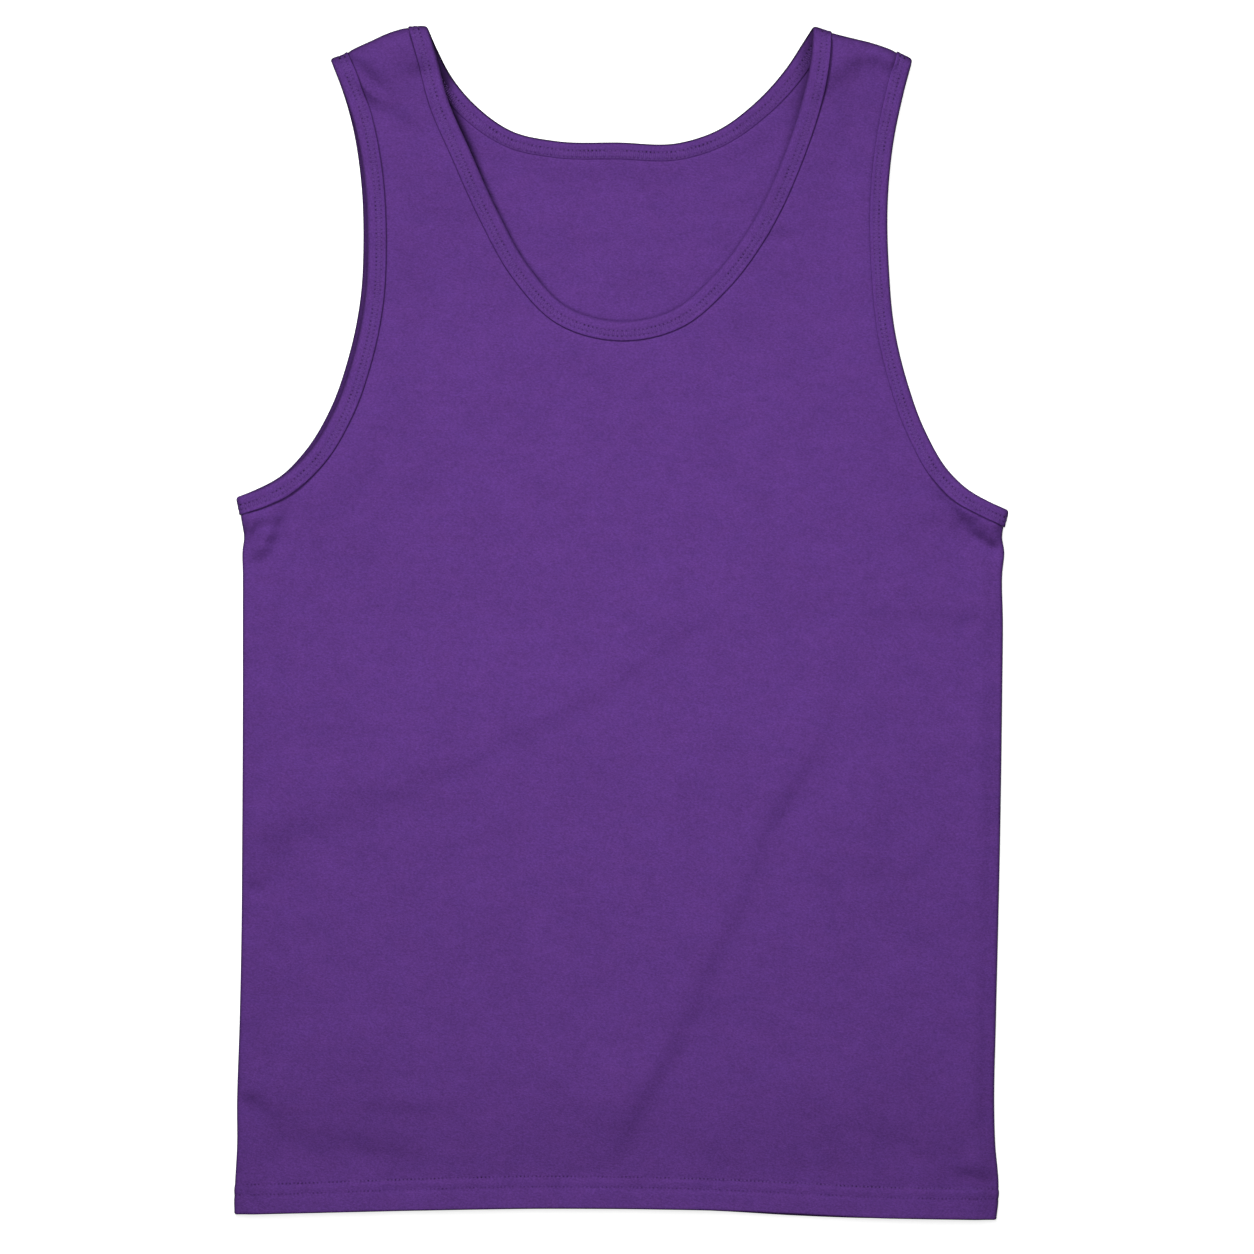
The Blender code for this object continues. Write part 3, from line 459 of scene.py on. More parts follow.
def wander(seed, size, length=1200.0):
    """A smooth random curve of spread 1 along a seam, as a function."""
    step = size / 4.0
    x = np.arange(-size * 4, length, step)
    values = np.random.default_rng(seed).standard_normal(len(x))
    kernel = np.exp(-0.5 * (np.arange(-12, 13) * step / (size * 0.5)) ** 2)
    values = np.convolve(values, kernel / kernel.sum(), mode="same")
    values /= values.std()
    return lambda at: np.interp(at, x, values)


def ruffle(first, second, at):
    """Small puckers along a seam: a fine and a broader wander, by seed, size and height."""
    return sum(wander(seed, size)(at) * height for seed, size, height in (first, second))


def nearest(curve):
    """Maps of the distance to a curve, and of how far along it the nearest place is."""
    curve = curve[::4]
    run = run_of(curve)
    apart, place = [], []
    for part in np.array_split(PLAN, 9):
        square = (part[:, :1] - curve[:, 0]) ** 2 + (part[:, 1:] - curve[:, 1]) ** 2
        apart.append(np.sqrt(square.min(axis=1)))
        place.append(run[square.argmin(axis=1)])
    return as_map(np.concatenate(apart)), as_map(np.concatenate(place))


NEAR = {key: nearest(curve) for key, curve in CURVES.items()}


def swell(x, y, height, reach):
    """A round rise."""
    square = (PLAN_X - x) ** 2 + (PLAN_Y - y) ** 2
    return height * np.exp(-square / (2 * (reach / 2) ** 2))


def fold_relief(points):
    """The folds' heights over the front, at points near them."""
    relief = np.zeros(len(points))
    for number, (table, ridge, trough) in enumerate(FOLDS):
        table = np.array(table)
        rows = np.arange(len(table))
        path = through(table[:, :2], 3.0)
        run, row_run = run_of(path), run_of(table[:, :2])
        share = np.interp(run, row_run * run[-1] / row_run[-1], rows)
        reach = 3.0 * max(ridge, trough)
        low, high = path.min(axis=0) - reach, path.max(axis=0) + reach
        near = np.flatnonzero(((points > low) & (points < high)).all(axis=1))
        here = points[near]
        best = np.full(len(near), np.inf)
        signed, place, past = np.zeros((3, len(near)))
        for i, (start, end) in enumerate(zip(path, path[1:])):
            length = np.hypot(*(end - start))
            way = (end - start) / length
            local = here - start
            ahead = local @ way
            part = np.clip(ahead, 0.0, length)
            apart = np.hypot(*(local - part[:, None] * way).T)
            closer = apart < best
            best[closer] = apart[closer]
            signed[closer] = (local @ np.array([way[1], -way[0]]))[closer]
            place[closer] = np.interp(part / length, [0, 1], share[i : i + 2])[closer]
            past[closer] = np.abs(ahead - part)[closer]
        drop, narrow = (np.interp(place, rows, table[:, i]) for i in (2, 3))
        signed += wander(60 + number, 14.0)(place * 30.0) * FOLD_WAVER * narrow
        left = signed < 0
        side = np.where(left, RIDGE_SHARE, 1.0 - RIDGE_SHARE)
        shape = -np.tanh(signed / narrow) * hump(signed, np.where(left, ridge, trough))
        relief[near] += drop * (shape * side) * hump(past, 0.5 * (ridge + trough))
    return relief


def back_map():
    """The back lies on the surface, and stands on its bindings' lower layer."""
    bound = np.min([NEAR["back", edge][0] for edge in EDGES], axis=0)
    back = BACK_REST + BACK_RISE * fade(bound, RISE_FROM, RISE_TO)
    showing = fade(np.hypot(PLAN_X / 120.0, (PLAN_Y - 235.0) / 90.0), 0.6, 1.2)
    uneven = np.clip(0.20 * bumps(11, 16.0) + 0.25, 0.0, 0.9)
    return back + showing * uneven * (1.0 - fade(bound, 14.0, 26.0))


def front_map(back):
    """The front comes down from its edges to its rest, with its folds and swells."""
    side = as_map(np.minimum(*side_depths(PLAN)))
    folded = np.minimum(side, np.where(PLAN_X < 0, *map(as_map, shoulder_depths(PLAN))))
    hem = PLAN_Y - as_map(hem_y("front", PLAN[:, 0]))
    arm = np.minimum(NEAR["front", -1][0], NEAR["front", 1][0])
    neck = NEAR["front", "neck"][0]
    bound = np.minimum(arm, neck)

    # Beside the neck it comes down from the straps to the chest.
    joined = BACK_REST + EDGE_LIFT
    neck_level = joined + BACK_RISE * fade(320.0 - PLAN_Y, 0.0, 110.0)
    side_roll = SIDE_ROLL * hump(side - 12.0, 7.5)
    lifts = [
        (joined + BACK_RISE - FRONT_REST) * fade(arm, SETTLE_FROM, SETTLE_TO),
        (neck_level - FRONT_REST) * fade(neck, SETTLE_FROM, SETTLE_TO),
        (joined - FRONT_REST) * fade(side, 5.0, SETTLE_TO) + side_roll,
        as_map(smooth(hem.ravel(), *LOW_BODY.T)),
    ]
    front = FRONT_REST + soft(np.max(lifts, axis=0), 3.0)
    open_hem = 1.0 - fade(hem, HEM_DEPTH, HEM_DEPTH + 50.0)
    for x, y, height, reach in SWELLS:
        front += swell(x, y, height * open_hem, reach)

    # A fold fades out under a binding, and runs on through the hem where it
    # rises, but can't sink there.
    relief = soft(as_map(fold_relief(PLAN)), 0.9)
    relief *= 1.0 - 0.6 * fade(bound, 7.5, 11.5)
    hemmed = fade(hem, HEM_DEPTH, HEM_DEPTH + 14.0)
    risen = 0.65 * 0.5 * (relief + np.hypot(relief, 0.3)) - 0.1
    relief = relief * (1.0 - hemmed) + np.maximum(risen, 0.0) * hemmed
    front += relief
    front += swell(*NECK_LIFT)

    # Slight unevenness of soft cloth, and puckers beside the sewn edges.
    free = 1.0 - np.maximum(fade(bound, 10.0, 26.0), fade(hem, 18.0, 34.0))
    uneven = 0.42 * bumps(1, 30.0) + 0.17 * bumps(2, 13.0) + 0.05 * bumps(3, 6.0)
    front += uneven * (0.25 + 0.75 * free)
    for i, edge in enumerate(EDGES):
        apart, place = NEAR["front", edge]
        sewn_up = ruffle((20 + i, 7.0, 0.14), (30 + i, 16.0, 0.22), place)
        front += soft(sewn_up * fade(apart, 8.0, 30.0), 1.0)
    sewn_up = ruffle((41, 8.0, 0.13), (42, 18.0, 0.22), ALONG_HEM)
    front += sewn_up * fade(np.abs(hem - 14.0), 8.0, 34.0)

    # Over the back panel, and over its hem and bindings where it has them.
    lowest = back + WALL + 0.5
    over = front - lowest
    front = lowest + 0.5 * (over + np.hypot(over, 0.4))
    fold = fade(folded, 3.0, 12.0)
    front = front * (1.0 - fold) + (back + EDGE_LIFT) * fold
    front += relief * (fold - fade(folded, 1.2, 5.0))
    return soft(front, 0.8)


MAPS = {"back": back_map()}
MAPS["front"] = front_map(MAPS["back"])
SLOPES = {panel: np.gradient(MAPS[panel], MAP_STEP)[::-1] for panel in PANELS}


def read(values, points):
    """A map's value at points, between its own."""
    u = np.clip((points[:, 0] - MAP_X[0]) / MAP_STEP, 0.0, len(MAP_X) - 1.001)
    v = np.clip((points[:, 1] - MAP_Y[0]) / MAP_STEP, 0.0, len(MAP_Y) - 1.001)
    i, j = u.astype(int), v.astype(int)
    u, v = u - i, v - j
    return (
        values[j, i] * (1 - u) * (1 - v)
        + values[j, i + 1] * u * (1 - v)
        + values[j + 1, i] * (1 - u) * v
        + values[j + 1, i + 1] * u * v
    )


def cloth(panel, points, offset):
    """Where points of a panel's spread-out cloth lie, moved out by offset."""
    x, y = points.T
    # Past the start of the hem's turn it goes round the turn, and up again.
    start = hem_y(panel, x) + HEM_EDGE
    past = np.maximum(start - y, 0.0)
    turn = np.minimum(past / HEM_R, np.pi)
    after = np.maximum(past - np.pi * HEM_R, 0.0)
    radius = HEM_R + offset
    y = np.where(past > 0, start - radius * np.sin(turn) + after, y)
    out = np.where(past > 0, radius * np.cos(turn) - HEM_R, offset)
    plan = np.column_stack([x, y])

    up = 1.0 if panel == "front" else -1.0
    slope_x, slope_y = (read(values, plan) for values in SLOPES[panel])
    normal = np.column_stack([-slope_x, -slope_y, np.ones(len(x))]) * up
    normal /= np.linalg.norm(normal, axis=1)[:, None]
    place = np.column_stack([plan, read(MAPS[panel], plan)])
    # At the sides and shoulders it turns a quarter circle to meet the other panel.
    depths = [*side_depths(plan), *shoulder_depths(plan)]
    inwards = [(1.0, 0.0), (-1.0, 0.0), SHOULDER[-1].inward, SHOULDER[1].inward]
    straps = y > STRAPS_FROM
    parts = [y < BODY_TO, y < BODY_TO, straps & (x < 0), straps & (x > 0)]
    for depth, inward, here in zip(depths, np.array(inwards), parts):
        angle = np.clip((FOLD_R - depth) / FOLD_R, 0.0, np.pi / 2) * here
        shift = (FOLD_R - FOLD_R * np.sin(angle) - depth) * (angle > 0)
        place[:, :2] += shift[:, None] * inward
        place[:, 2] -= up * FOLD_R * (1.0 - np.cos(angle))
        outward = np.append(-inward, 0.0)
        normal = normal * np.cos(angle)[:, None] + outward * np.sin(angle)[:, None]
    normal /= np.linalg.norm(normal, axis=1)[:, None]
    return place + normal * out[:, None]


# --- stations along the bound edges ---
def crossing(run, depths, wanted):
    """Where along a run it has come to a depth inside a fold."""
    order = np.argsort(depths)
    return float(np.interp(wanted, depths[order], run[order]))


def fold_crossings(panel, edge):
    """Where a bound edge crosses the folded rows at its start and at its end."""
    curve = CURVES[panel, edge]
    run = run_of(curve)
    half = len(curve) // 2
    if edge == "neck":
        depths = shoulder_depths(curve)
    else:
        depths = [side_depths(curve)[edge > 0], SHOULDER[edge].depth(curve)]
    first = [crossing(run[:half], depths[0][:half], depth) for depth in ROW_DEPTHS]
    last = [crossing(run[half:], depths[1][half:], depth) for depth in ROW_DEPTHS]
    first[0], last[0] = 0.0, float(run[-1])
    return first, last


CROSSINGS = {key: fold_crossings(*key) for key in CURVES}


def ways_in(panel, edge, at):
    """Points at distances along a bound edge, and the way from each inwards."""
    curve = CURVES[panel, edge]
    first, last = CROSSINGS[panel, edge]
    into = right_of(curve, at) * (-1.0 if edge == 1 else 1.0)
    if edge == "neck":
        ways = [-top.way(*top.t[-2:]) for top in SHOULDER.values()]
    else:
        lower, upper = SIDES[-2:, [1 if edge < 0 else 2, 0]]
        ways = [unit(lower - upper), SHOULDER[edge].way(*SHOULDER[edge].t[:2])]
    # Near a fold it runs along the fold.
    for way, start in zip(ways, (at - first[-1], last[-1] - at)):
        share = fade(start, 0.0, 30.0)[:, None]
        into = unit(into * (1.0 - share) + way * share)
    return along(curve, at), into


def stations(panel, edge, step):
    first, last = CROSSINGS[panel, edge]
    count = int(round((last[-1] - first[-1]) / step))
    between = np.linspace(first[-1], last[-1], count + 1)[1:-1]
    at = np.array([*first, *between, *last[::-1]])
    return at, *ways_in(panel, edge, at)


# --- panels ---
class Sheet:
    """Points and lines of a panel's spread-out cloth, ready to be filled."""

    def __init__(self):
        self.points = []
        self.lines = []
        self.known = {}

    def add(self, point):
        key = (round(float(point[0]), 3), round(float(point[1]), 3))
        if key not in self.known:
            self.known[key] = len(self.points)
            self.points.append(key)
        return self.known[key]

    def line(self, points):
        ids = [self.add(point) for point in points]
        self.lines += [(a, b) for a, b in zip(ids, ids[1:]) if a != b]

    def scatter(self, points, gap):
        """Adds the points that are at least gap from those already here."""
        tree = KDTree(len(self.points))
        for i, p in enumerate(self.points):
            tree.insert((*p, 0.0), i)
        tree.balance()
        clear = [p for p in points if tree.find((*p, 0.0))[2] > gap]
        for p in clear:
            self.add(p)


def side_point(side, y, depth):
    return (float(side_x(side, y)) - side * depth, y)


def hem_point(panel, x, past):
    """A point so far up from the bottom edge, or past the start of its turn."""
    return (float(x), float(hem_y(panel, x)) + HEM_EDGE - past)


def side_row(panel, side, number, start_y):
    """A row of points down a side, from its binding to the hem's raw edge."""
    depth = PANEL_DEPTHS[number]
    bottom = float(hem_y(panel, side * SIDE_AT_HEM))
    top = bottom + HEM_LINES[0]
    heights = [*np.linspace(start_y, top, int(round((start_y - top) / SEAM_STEP)) + 1)]
    heights += [bottom + above for above in HEM_LINES[1:]]
    row = [side_point(side, y, depth) for y in heights]
    for past in HEM_ROWS:
        # In the turn the rows come closer to the fold, and the cloth stops short.
        turn = min(past / HEM_R, np.pi)
        y = bottom + HEM_EDGE - HEM_R * np.sin(turn) + max(past - np.pi * HEM_R, 0.0)
        stop = FOLD_TURNS[0] + (HEM_STOP - FOLD_TURNS[0]) * turn / np.pi
        x = side_point(side, y, max(depth, fold_depth(stop)))[0]
        row.append(hem_point(panel, x, past))
    return row


def shoulder_row(side, number, first, last):
    """A row of points along a shoulder, armhole to neck."""
    top = SHOULDER[side]
    start, end = ((np.array(point) - top.origin) @ top.along for point in (first, last))
    places = np.linspace(start, end, int(abs(end - start) / SEAM_STEP) + 1)
    return [tuple(point) for point in top.point(places, PANEL_DEPTHS[number])]


def scatter_folds(sheet):
    """Closer points along the front's folds."""
    for table, _, _ in FOLDS:
        path = through(np.array(table)[:, :2], 1.8)
        ahead = np.gradient(path, axis=0)
        across = unit(np.column_stack([-ahead[:, 1], ahead[:, 0]]))
        above_hem = path[:, 1] > hem_y("front", path[:, 0]) + HEM_LINES[0] + 2.0
        inside = above_hem & (np.minimum(*side_depths(path)) > 4.0)
        for off in (0.0, 1.8, -1.8, 3.6, -3.6, 5.6, -5.6):
            sheet.scatter((path + across * off)[inside], 1.5)


def scatter_shade(sheet):
    """Closer points on the back, behind the front's neck edge."""
    curve = CURVES["front", "neck"]
    at = np.arange(24.0, LENGTHS["front", "neck"] - 24.0, 2.0)
    for off in (-0.6, 0.3, 1.2, 2.1, 3.2, 4.6):
        row = along(curve, at) - right_of(curve, at) * off
        sheet.scatter(row[past_binding("back", row) > 1.6], 0.7)


def spread(panel):
    """A panel's cloth, spread out: its points and its triangles."""
    sheet = Sheet()
    numbers = range(len(PANEL_DEPTHS))
    raw, bound = {}, []
    for edge in EDGES:
        at, points, into = stations(panel, edge, 2.6)
        raw[edge] = [tuple(p) for p in points + into * RAW_EDGE]
        bound.append((points, into, bound_width(panel, edge, at)))
    # The rows down the sides and along the shoulders start and end on raw edges.
    rows = {
        side: [side_row(panel, side, n, raw[side][n][1]) for n in numbers]
        for side in (-1, 1)
    }
    neck_at = {-1: list(numbers), 1: [-1 - n for n in numbers]}
    tops = {
        side: [
            shoulder_row(side, n, raw[side][-1 - n], raw["neck"][neck_at[side][n]])
            for n in numbers
        ]
        for side in (-1, 1)
    }
    for side in (-1, 1):
        for n in numbers:
            raw[side][n] = rows[side][n][0]
            raw[side][-1 - n] = tops[side][n][0]
            raw["neck"][neck_at[side][n]] = tops[side][n][-1]
    for row in (*raw.values(), *rows[-1], *tops[-1], *rows[1], *tops[1]):
        sheet.line(row)
    # Rows across the hem join the rows down both sides.
    pasts = [*(HEM_EDGE - above for above in HEM_LINES), *HEM_ROWS]
    left, right = (rows[side][-1][-1][0] for side in (-1, 1))
    columns = np.linspace(left, right, int(round((right - left) / SEAM_STEP)) + 1)[1:-1]
    for n, past in enumerate(pasts, -len(pasts)):
        ends = [[row[n] for row in rows[side]] for side in (-1, 1)]
        middle = [hem_point(panel, x, past) for x in columns]
        sheet.line([*ends[0], *middle, *ends[1][::-1]])
    # Close rows in the groove beside each binding, and open ones further out.
    body = slice(len(numbers), -len(numbers))
    for points, into, widths in bound:
        for beyond in (0.0, 0.35, 0.8, 1.4, 2.4):
            sheet.line((points + into * (widths + beyond)[:, None])[body])
    for points, into, _ in bound:
        for reach in (4.0, 7.0, 16.5, 19.0):
            sheet.scatter((points + into * reach)[body], 1.4)
    if panel == "front":
        scatter_folds(sheet)
    else:
        scatter_shade(sheet)
    step = GRID_STEP[panel]
    grid = np.array([
        (x + (step / 2 if n % 2 else 0.0), y)
        for n, y in enumerate(np.arange(-334.0, 352.0, step * 0.866))
        for x in np.arange(-234.0, 234.0, step)
    ])
    x, y = grid.T
    above_hem = y > hem_y(panel, x) + HEM_LINES[0] + 1.5
    sheet.scatter(grid[above_hem & ((y < 110.0) | (np.abs(x) < 175.0))], 0.55 * step)
    points, _, faces = delaunay_2d_cdt(
        [Vector(p) for p in sheet.points], sheet.lines, [], 1, 1e-4
    )[:3]
    # Points outside the outline belong to no triangle and are dropped.
    used, faces = np.unique(np.array(faces), return_inverse=True)
    return np.array([tuple(points[i]) for i in used]), faces.reshape(-1, 3)


# --- marks on the cloth ---
ROW_WANDER = wander(50, 60.0)


def row_wander(x):
    """How far the hem's needle rows wander off."""
    return 0.35 * ROW_WANDER(x + HEM_START)


def sewn(depth, rows, deep, wide):
    """How far needle rows draw the cloth in."""
    return sum(deep * hump(depth - row, wide) for row in rows)


def past_bindings(panel, points):
    """How far points of a panel lie beyond the inner edge of each binding."""
    apart = {}
    for edge in EDGES:
        away, place = (read(values, points) for values in NEAR[panel, edge])
        apart[edge] = away - bound_width(panel, edge, place)
    return apart


def past_binding(panel, points):
    return np.min(list(past_bindings(panel, points).values()), axis=0)


def seam_shade_distance(panel, points):
    """Distance from the painted shade line in the ditch beside the bindings."""
    if panel == "back":
        return past_binding(panel, points) + 0.7
    apart = []
    for edge, beyond in past_bindings(panel, points).items():
        middle, reach, wider = SEAM_WIDE[edge]
        place = read(NEAR[panel, edge][1], points)
        beyond = beyond - wider * hump(place - middle, reach)
        apart.append(np.maximum(beyond, 0.0) + SEAM_OFF[edge])
    return np.min(apart, axis=0)


def neck_shade(points):
    """How dark the back is close behind the front's neck edge."""
    away, place = (read(values, points) for values in NEAR["front", "neck"])
    place = place / LENGTHS["front", "neck"]
    share, reach = (np.interp(place, NECK_SHADE[:, 0], NECK_SHADE[:, i]) for i in (1, 2))
    return share * hump(away, reach)


def strap_shade(points):
    return STRAP_SHADE * fade(np.minimum(*shoulder_depths(points)), 20.0, 85.0)


def rim_shade(panel, points):
    """How dark points are near the folded edges."""
    x, y = points.T
    left, right = side_depths(points)
    apart = {
        "left": left - SEAM_DEPTH,
        "right": right - SEAM_DEPTH,
        "shoulder": np.where(x < 0, *shoulder_depths(points)) - SEAM_DEPTH,
        "hem": hem_y(panel, x) + HEM_EDGE - y - HEM_R * np.pi / 2,
    }
    return np.max([dark * hump(apart[name], wide) for name, (dark, wide) in RIM_SHADES.items()], axis=0)


def closed_wall(outer, inner, faces):
    """A wall between two skins that share one set of triangles."""
    count = len(outer)
    pairs = np.concatenate([faces[:, [0, 1]], faces[:, [1, 2]], faces[:, [2, 0]]])
    key = pairs[:, 0] * count + pairs[:, 1]
    a, b = pairs[~np.isin(key, pairs[:, 1] * count + pairs[:, 0])].T
    rim = [np.column_stack([b, a, a + count]), np.column_stack([b, a + count, b + count])]
    return np.vstack([outer, inner]), np.concatenate([faces, faces[:, ::-1] + count, *rim])


def panel_mesh(panel):
    """A panel's points, faces and marks, and its area spread out."""
    points, faces = spread(panel)
    front = panel == "front"
    depth = points[:, 1] - hem_y(panel, points[:, 0]) - row_wander(points[:, 0])
    # Drawn in along the hem's needle rows, and puffed up between and below them.
    out = WALL / 2 - sum(
        sewn(depth, [row], deep, HEM_DENT_WIDE) for row, deep in zip(HEM_NEEDLES, HEM_DENTS)
    )
    out += front * 0.12 * hump(depth - 15.7, 1.9)
    out += front * 0.24 * fade(depth, 17.4, 19.0) * (1.0 - fade(depth, 2.0, 9.0))
    beyond = past_binding(panel, points)
    groove = GROOVE[panel] * hump(beyond - 0.3, GROOVE_WIDE) * (beyond > -0.5)
    outer = cloth(panel, points, out - groove)
    inner = cloth(panel, points, groove * (not front) - WALL / 2)
    vertices, wall = closed_wall(outer, inner, faces)
    shade = strap_shade(points) if front else neck_shade(points)
    marks = {
        "weave": np.tile(np.column_stack([points, depth]), (2, 1)),
        "seam": np.tile(seam_shade_distance(panel, points), 2),
        "rim": np.tile(rim_shade(panel, points), 2),
        "shade": np.tile(shade, 2),
    }
    first, second, third = (points[faces[:, i]] for i in range(3))
    (ax, ay), (bx, by) = (second - first).T, (third - first).T
    return vertices, wall, marks, 0.5 * np.abs(ax * by - ay * bx).sum()


# --- bindings ---
FOLD_REACH = 2.2  # of the round outer fold of a binding
FACE, FACE_RISE = 1.22, 0.42  # middle of the panel to a binding's face, and more inwards
NARROWER, FLATTER = 1.7, 0.35  # a binding along the middle of the back neck
UNDER = 0.57  # middle of the panel to the inside of a binding
LEG_POINTS = 20  # across each face


def at_back_neck(panel, edge, at):
    """1 along the middle of the back neck, whose binding is narrower and flatter."""
    if (panel, edge) != ("back", "neck"):
        return np.zeros(np.shape(at))
    return 1.0 - fade(np.minimum(at, LENGTHS[panel, edge] - at), 10.0, 90.0)


def bound_width(panel, edge, at):
    """A binding's width at distances along its edge."""
    return WIDTHS[edge] - NARROWER * at_back_neck(panel, edge, at)


def needle_rows(panel, edge, at):
    """Distances of both needle rows in from the edge."""
    width = bound_width(panel, edge, at)
    second = NEEDLES[1] + 0.15 * at_back_neck(panel, edge, at)
    return NEEDLES[0] * width, second * width


def binding_top(panel, edge, at, reach):
    """Height of a binding's upper face over the middle of the panel."""
    width = bound_width(panel, edge, at)
    thin = FLATTER * at_back_neck(panel, edge, at)
    top = FACE + FACE_RISE * fade(reach, 2.5, width - 0.5)
    top = top - thin * fade(width - reach, 0.3, 2.5)
    top = top + 0.11 * hump(reach - width + 1.1, 0.9)
    rows = needle_rows(panel, edge, at)
    return top - sewn(reach, rows, BINDING_DENT, BINDING_DENT_WIDE)


def binding_section(panel, edge, at):
    """The section at each station: reach into the cloth, and height over it."""
    at = at[:, None]
    width = bound_width(panel, edge, at)
    same = np.ones_like(width)
    leg = FOLD_REACH + np.linspace(1.0, 0.0, LEG_POINTS) * (width - 3.0)
    tops = binding_top(panel, edge, at, leg)
    turn = np.radians(np.arange(75.0, -90.0, -15.0))
    fold_reach = FOLD_REACH * (1.0 - np.cos(turn)) * same
    fold_out = tops[:, -1:] * np.sin(turn)
    # From the lip's rolled corner down to its lower edge, tucked in a little.
    lip = binding_top(panel, edge, at, width)
    lip_reach = width + np.array([-0.45, -0.14, 0.0, -0.06, -0.36])
    corner = [lip - 0.01, lip - 0.12, 0.5 * (lip + UNDER), 0.2 * lip + 0.8 * UNDER]
    lip_out = np.hstack([*corner, UNDER * same])
    in_reach = np.hstack([width * 0.5, 1.35 * same, 1.2 * same])
    in_out = np.array([UNDER, UNDER, 0.3]) * same
    reach = [lip_reach[:, ::-1], leg, fold_reach, leg[:, ::-1], lip_reach]
    out = [lip_out[:, ::-1], tops, fold_out, -tops[:, ::-1], -lip_out]
    reach += [in_reach, in_reach[:, ::-1]]
    out += [-in_out, in_out[:, ::-1]]
    return np.hstack(reach), np.hstack(out)


def binding_rim_shade(panel, edge, at):
    """Painted shade on a binding's outer edge: faint where it lies over the back."""
    if edge != "neck":
        return np.full(np.shape(at), BOUND_RIM[edge])
    if panel == "back":
        return np.ones(np.shape(at))
    near_end = fade(np.minimum(at, LENGTHS[panel, edge] - at), 10.0, 60.0)
    return BOUND_RIM["neck"] + BOUND_RIM["neck end"] * near_end


def stitch_count(panel, edge):
    return int(LENGTHS[panel, edge] / PITCH)


def binding_mesh(edge):
    """One closed ring: along the front's edge, and back along the back's."""
    parts = []
    stitches, length = 0, 0.0
    for panel in PANELS:
        at, points, into = stations(panel, edge, EDGE_STEP)
        reach, out = binding_section(panel, edge, at)
        plan = points[:, None] + into[:, None] * reach[..., None]
        flat = plan.reshape(-1, 2)
        ring = cloth(panel, flat, out.ravel()).reshape(*out.shape, 3)
        count = stitch_count(panel, edge)
        place = at / at[-1] * count
        if panel == "back":
            place = count - place
        # The weave's second coordinate keeps the needle rows where the front's are.
        rows = needle_rows(panel, edge, at)
        known = np.column_stack([0.0 * at, *rows, bound_width(panel, edge, at)])
        wanted = WIDTHS[edge] * np.array([0.0, *NEEDLES, 1.0])
        weave = np.zeros((*reach.shape, 3))
        weave[..., 0] = (stitches + place)[:, None] * PITCH
        weave[..., 1] = [np.interp(*row, wanted) for row in zip(reach, known)]
        weave[..., 2] = np.sign(out)
        shade = np.zeros(reach.shape)
        if panel == "back":
            dark = ARM_SHADE if edge != "neck" else neck_shade(flat).reshape(reach.shape)
            shade = dark * (out <= 0)
        rim = binding_rim_shade(panel, edge, at)[:, None] * hump(weave[..., 1], BOUND_RIM_WIDE)
        rim = np.maximum(rim, rim_shade(panel, flat).reshape(reach.shape))
        step = slice(None) if panel == "front" else slice(-2, 0, -1)
        parts.append([values[step] for values in (ring, weave, shade, rim)])
        stitches += count
        length += at[-1]
    ring, weave, shade, rim = (np.concatenate(values) for values in zip(*parts))
    marks = {"weave": weave.reshape(-1, 3), "shade": shade.ravel(), "rim": rim.ravel()}
    count, size = ring.shape[:2]
    i, k = (v.ravel() for v in np.meshgrid(np.arange(count), np.arange(size), indexing="ij"))
    j, m = (i + 1) % count, (k + 1) % size
    faces = np.column_stack([i * size + k, i * size + m, j * size + m, j * size + k])
    return ring.reshape(-1, 3), faces, marks, length


# --- thread ---
def thread_mesh(paths, radius, sides=5):
    """Thin round threads along many short paths of the same number of points."""
    count, points = paths.shape[:2]
    ahead = np.gradient(paths, axis=1)
    ahead /= np.linalg.norm(ahead, axis=2)[..., None]
    side = np.cross(ahead, [0.0, 0.0, 1.0])
    side /= np.linalg.norm(side, axis=2)[..., None] + 1e-9
    over = np.cross(side, ahead)
    at = np.arange(points)
    girth = radius * np.interp(at, [0, 1, points - 2, points - 1], [0.45, 1.0, 1.0, 0.45])
    angle = np.linspace(0.0, 2 * np.pi, sides, endpoint=False)[:, None]
    ring = side[:, :, None] * np.cos(angle) + over[:, :, None] * np.sin(angle)
    vertices = (paths[:, :, None] + ring * girth[:, None, None]).reshape(-1, 3)
    first = (np.arange(count) * points * sides)[:, None]
    faces = []
    for p in range(points - 1):
        for s in range(sides):
            a, b = p * sides + s, p * sides + (s + 1) % sides
            faces.append(first + np.array([a, a + sides, b + sides, b]))
    caps = []
    for s in range(1, sides - 1):
        caps.append(first + np.array([0, s, s + 1]))
        caps.append(first + (points - 1) * sides + np.array([0, s + 1, s]))
    return vertices, [np.concatenate(faces), np.concatenate(caps)]


def binding_threads(edge):
    """Two needle rows on each face, and the cover thread to and fro between them."""
    even = np.linspace(0.0, 1.0, 5)
    # Points along a pitch, their way from the first row to the second, heights.
    kinds = [
        (SPAN, 0.0 * even, LIE),
        (SPAN, 0.0 * even + 1.0, LIE),
        (0.12 * even, even, COVER_LIE),
        (0.12 * even + 0.5, 1.0 - even, COVER_LIE),
    ]
    paths = []
    for panel in PANELS:
        count = stitch_count(panel, edge)
        pitch = LENGTHS[panel, edge] / count
        for face in (1.0, -1.0):
            for span, part, lie in kinds:
                at = ((np.arange(count)[:, None] + span) * pitch).ravel()
                points, into = ways_in(panel, edge, at)
                first, second = needle_rows(panel, edge, at)
                reach = first + (second - first) * np.tile(part, count)
                out = face * (binding_top(panel, edge, at, reach) + np.tile(lie, count))
                place = cloth(panel, points + into * reach[:, None], out)
                paths.append(place.reshape(count, -1, 3))
    return np.concatenate(paths)


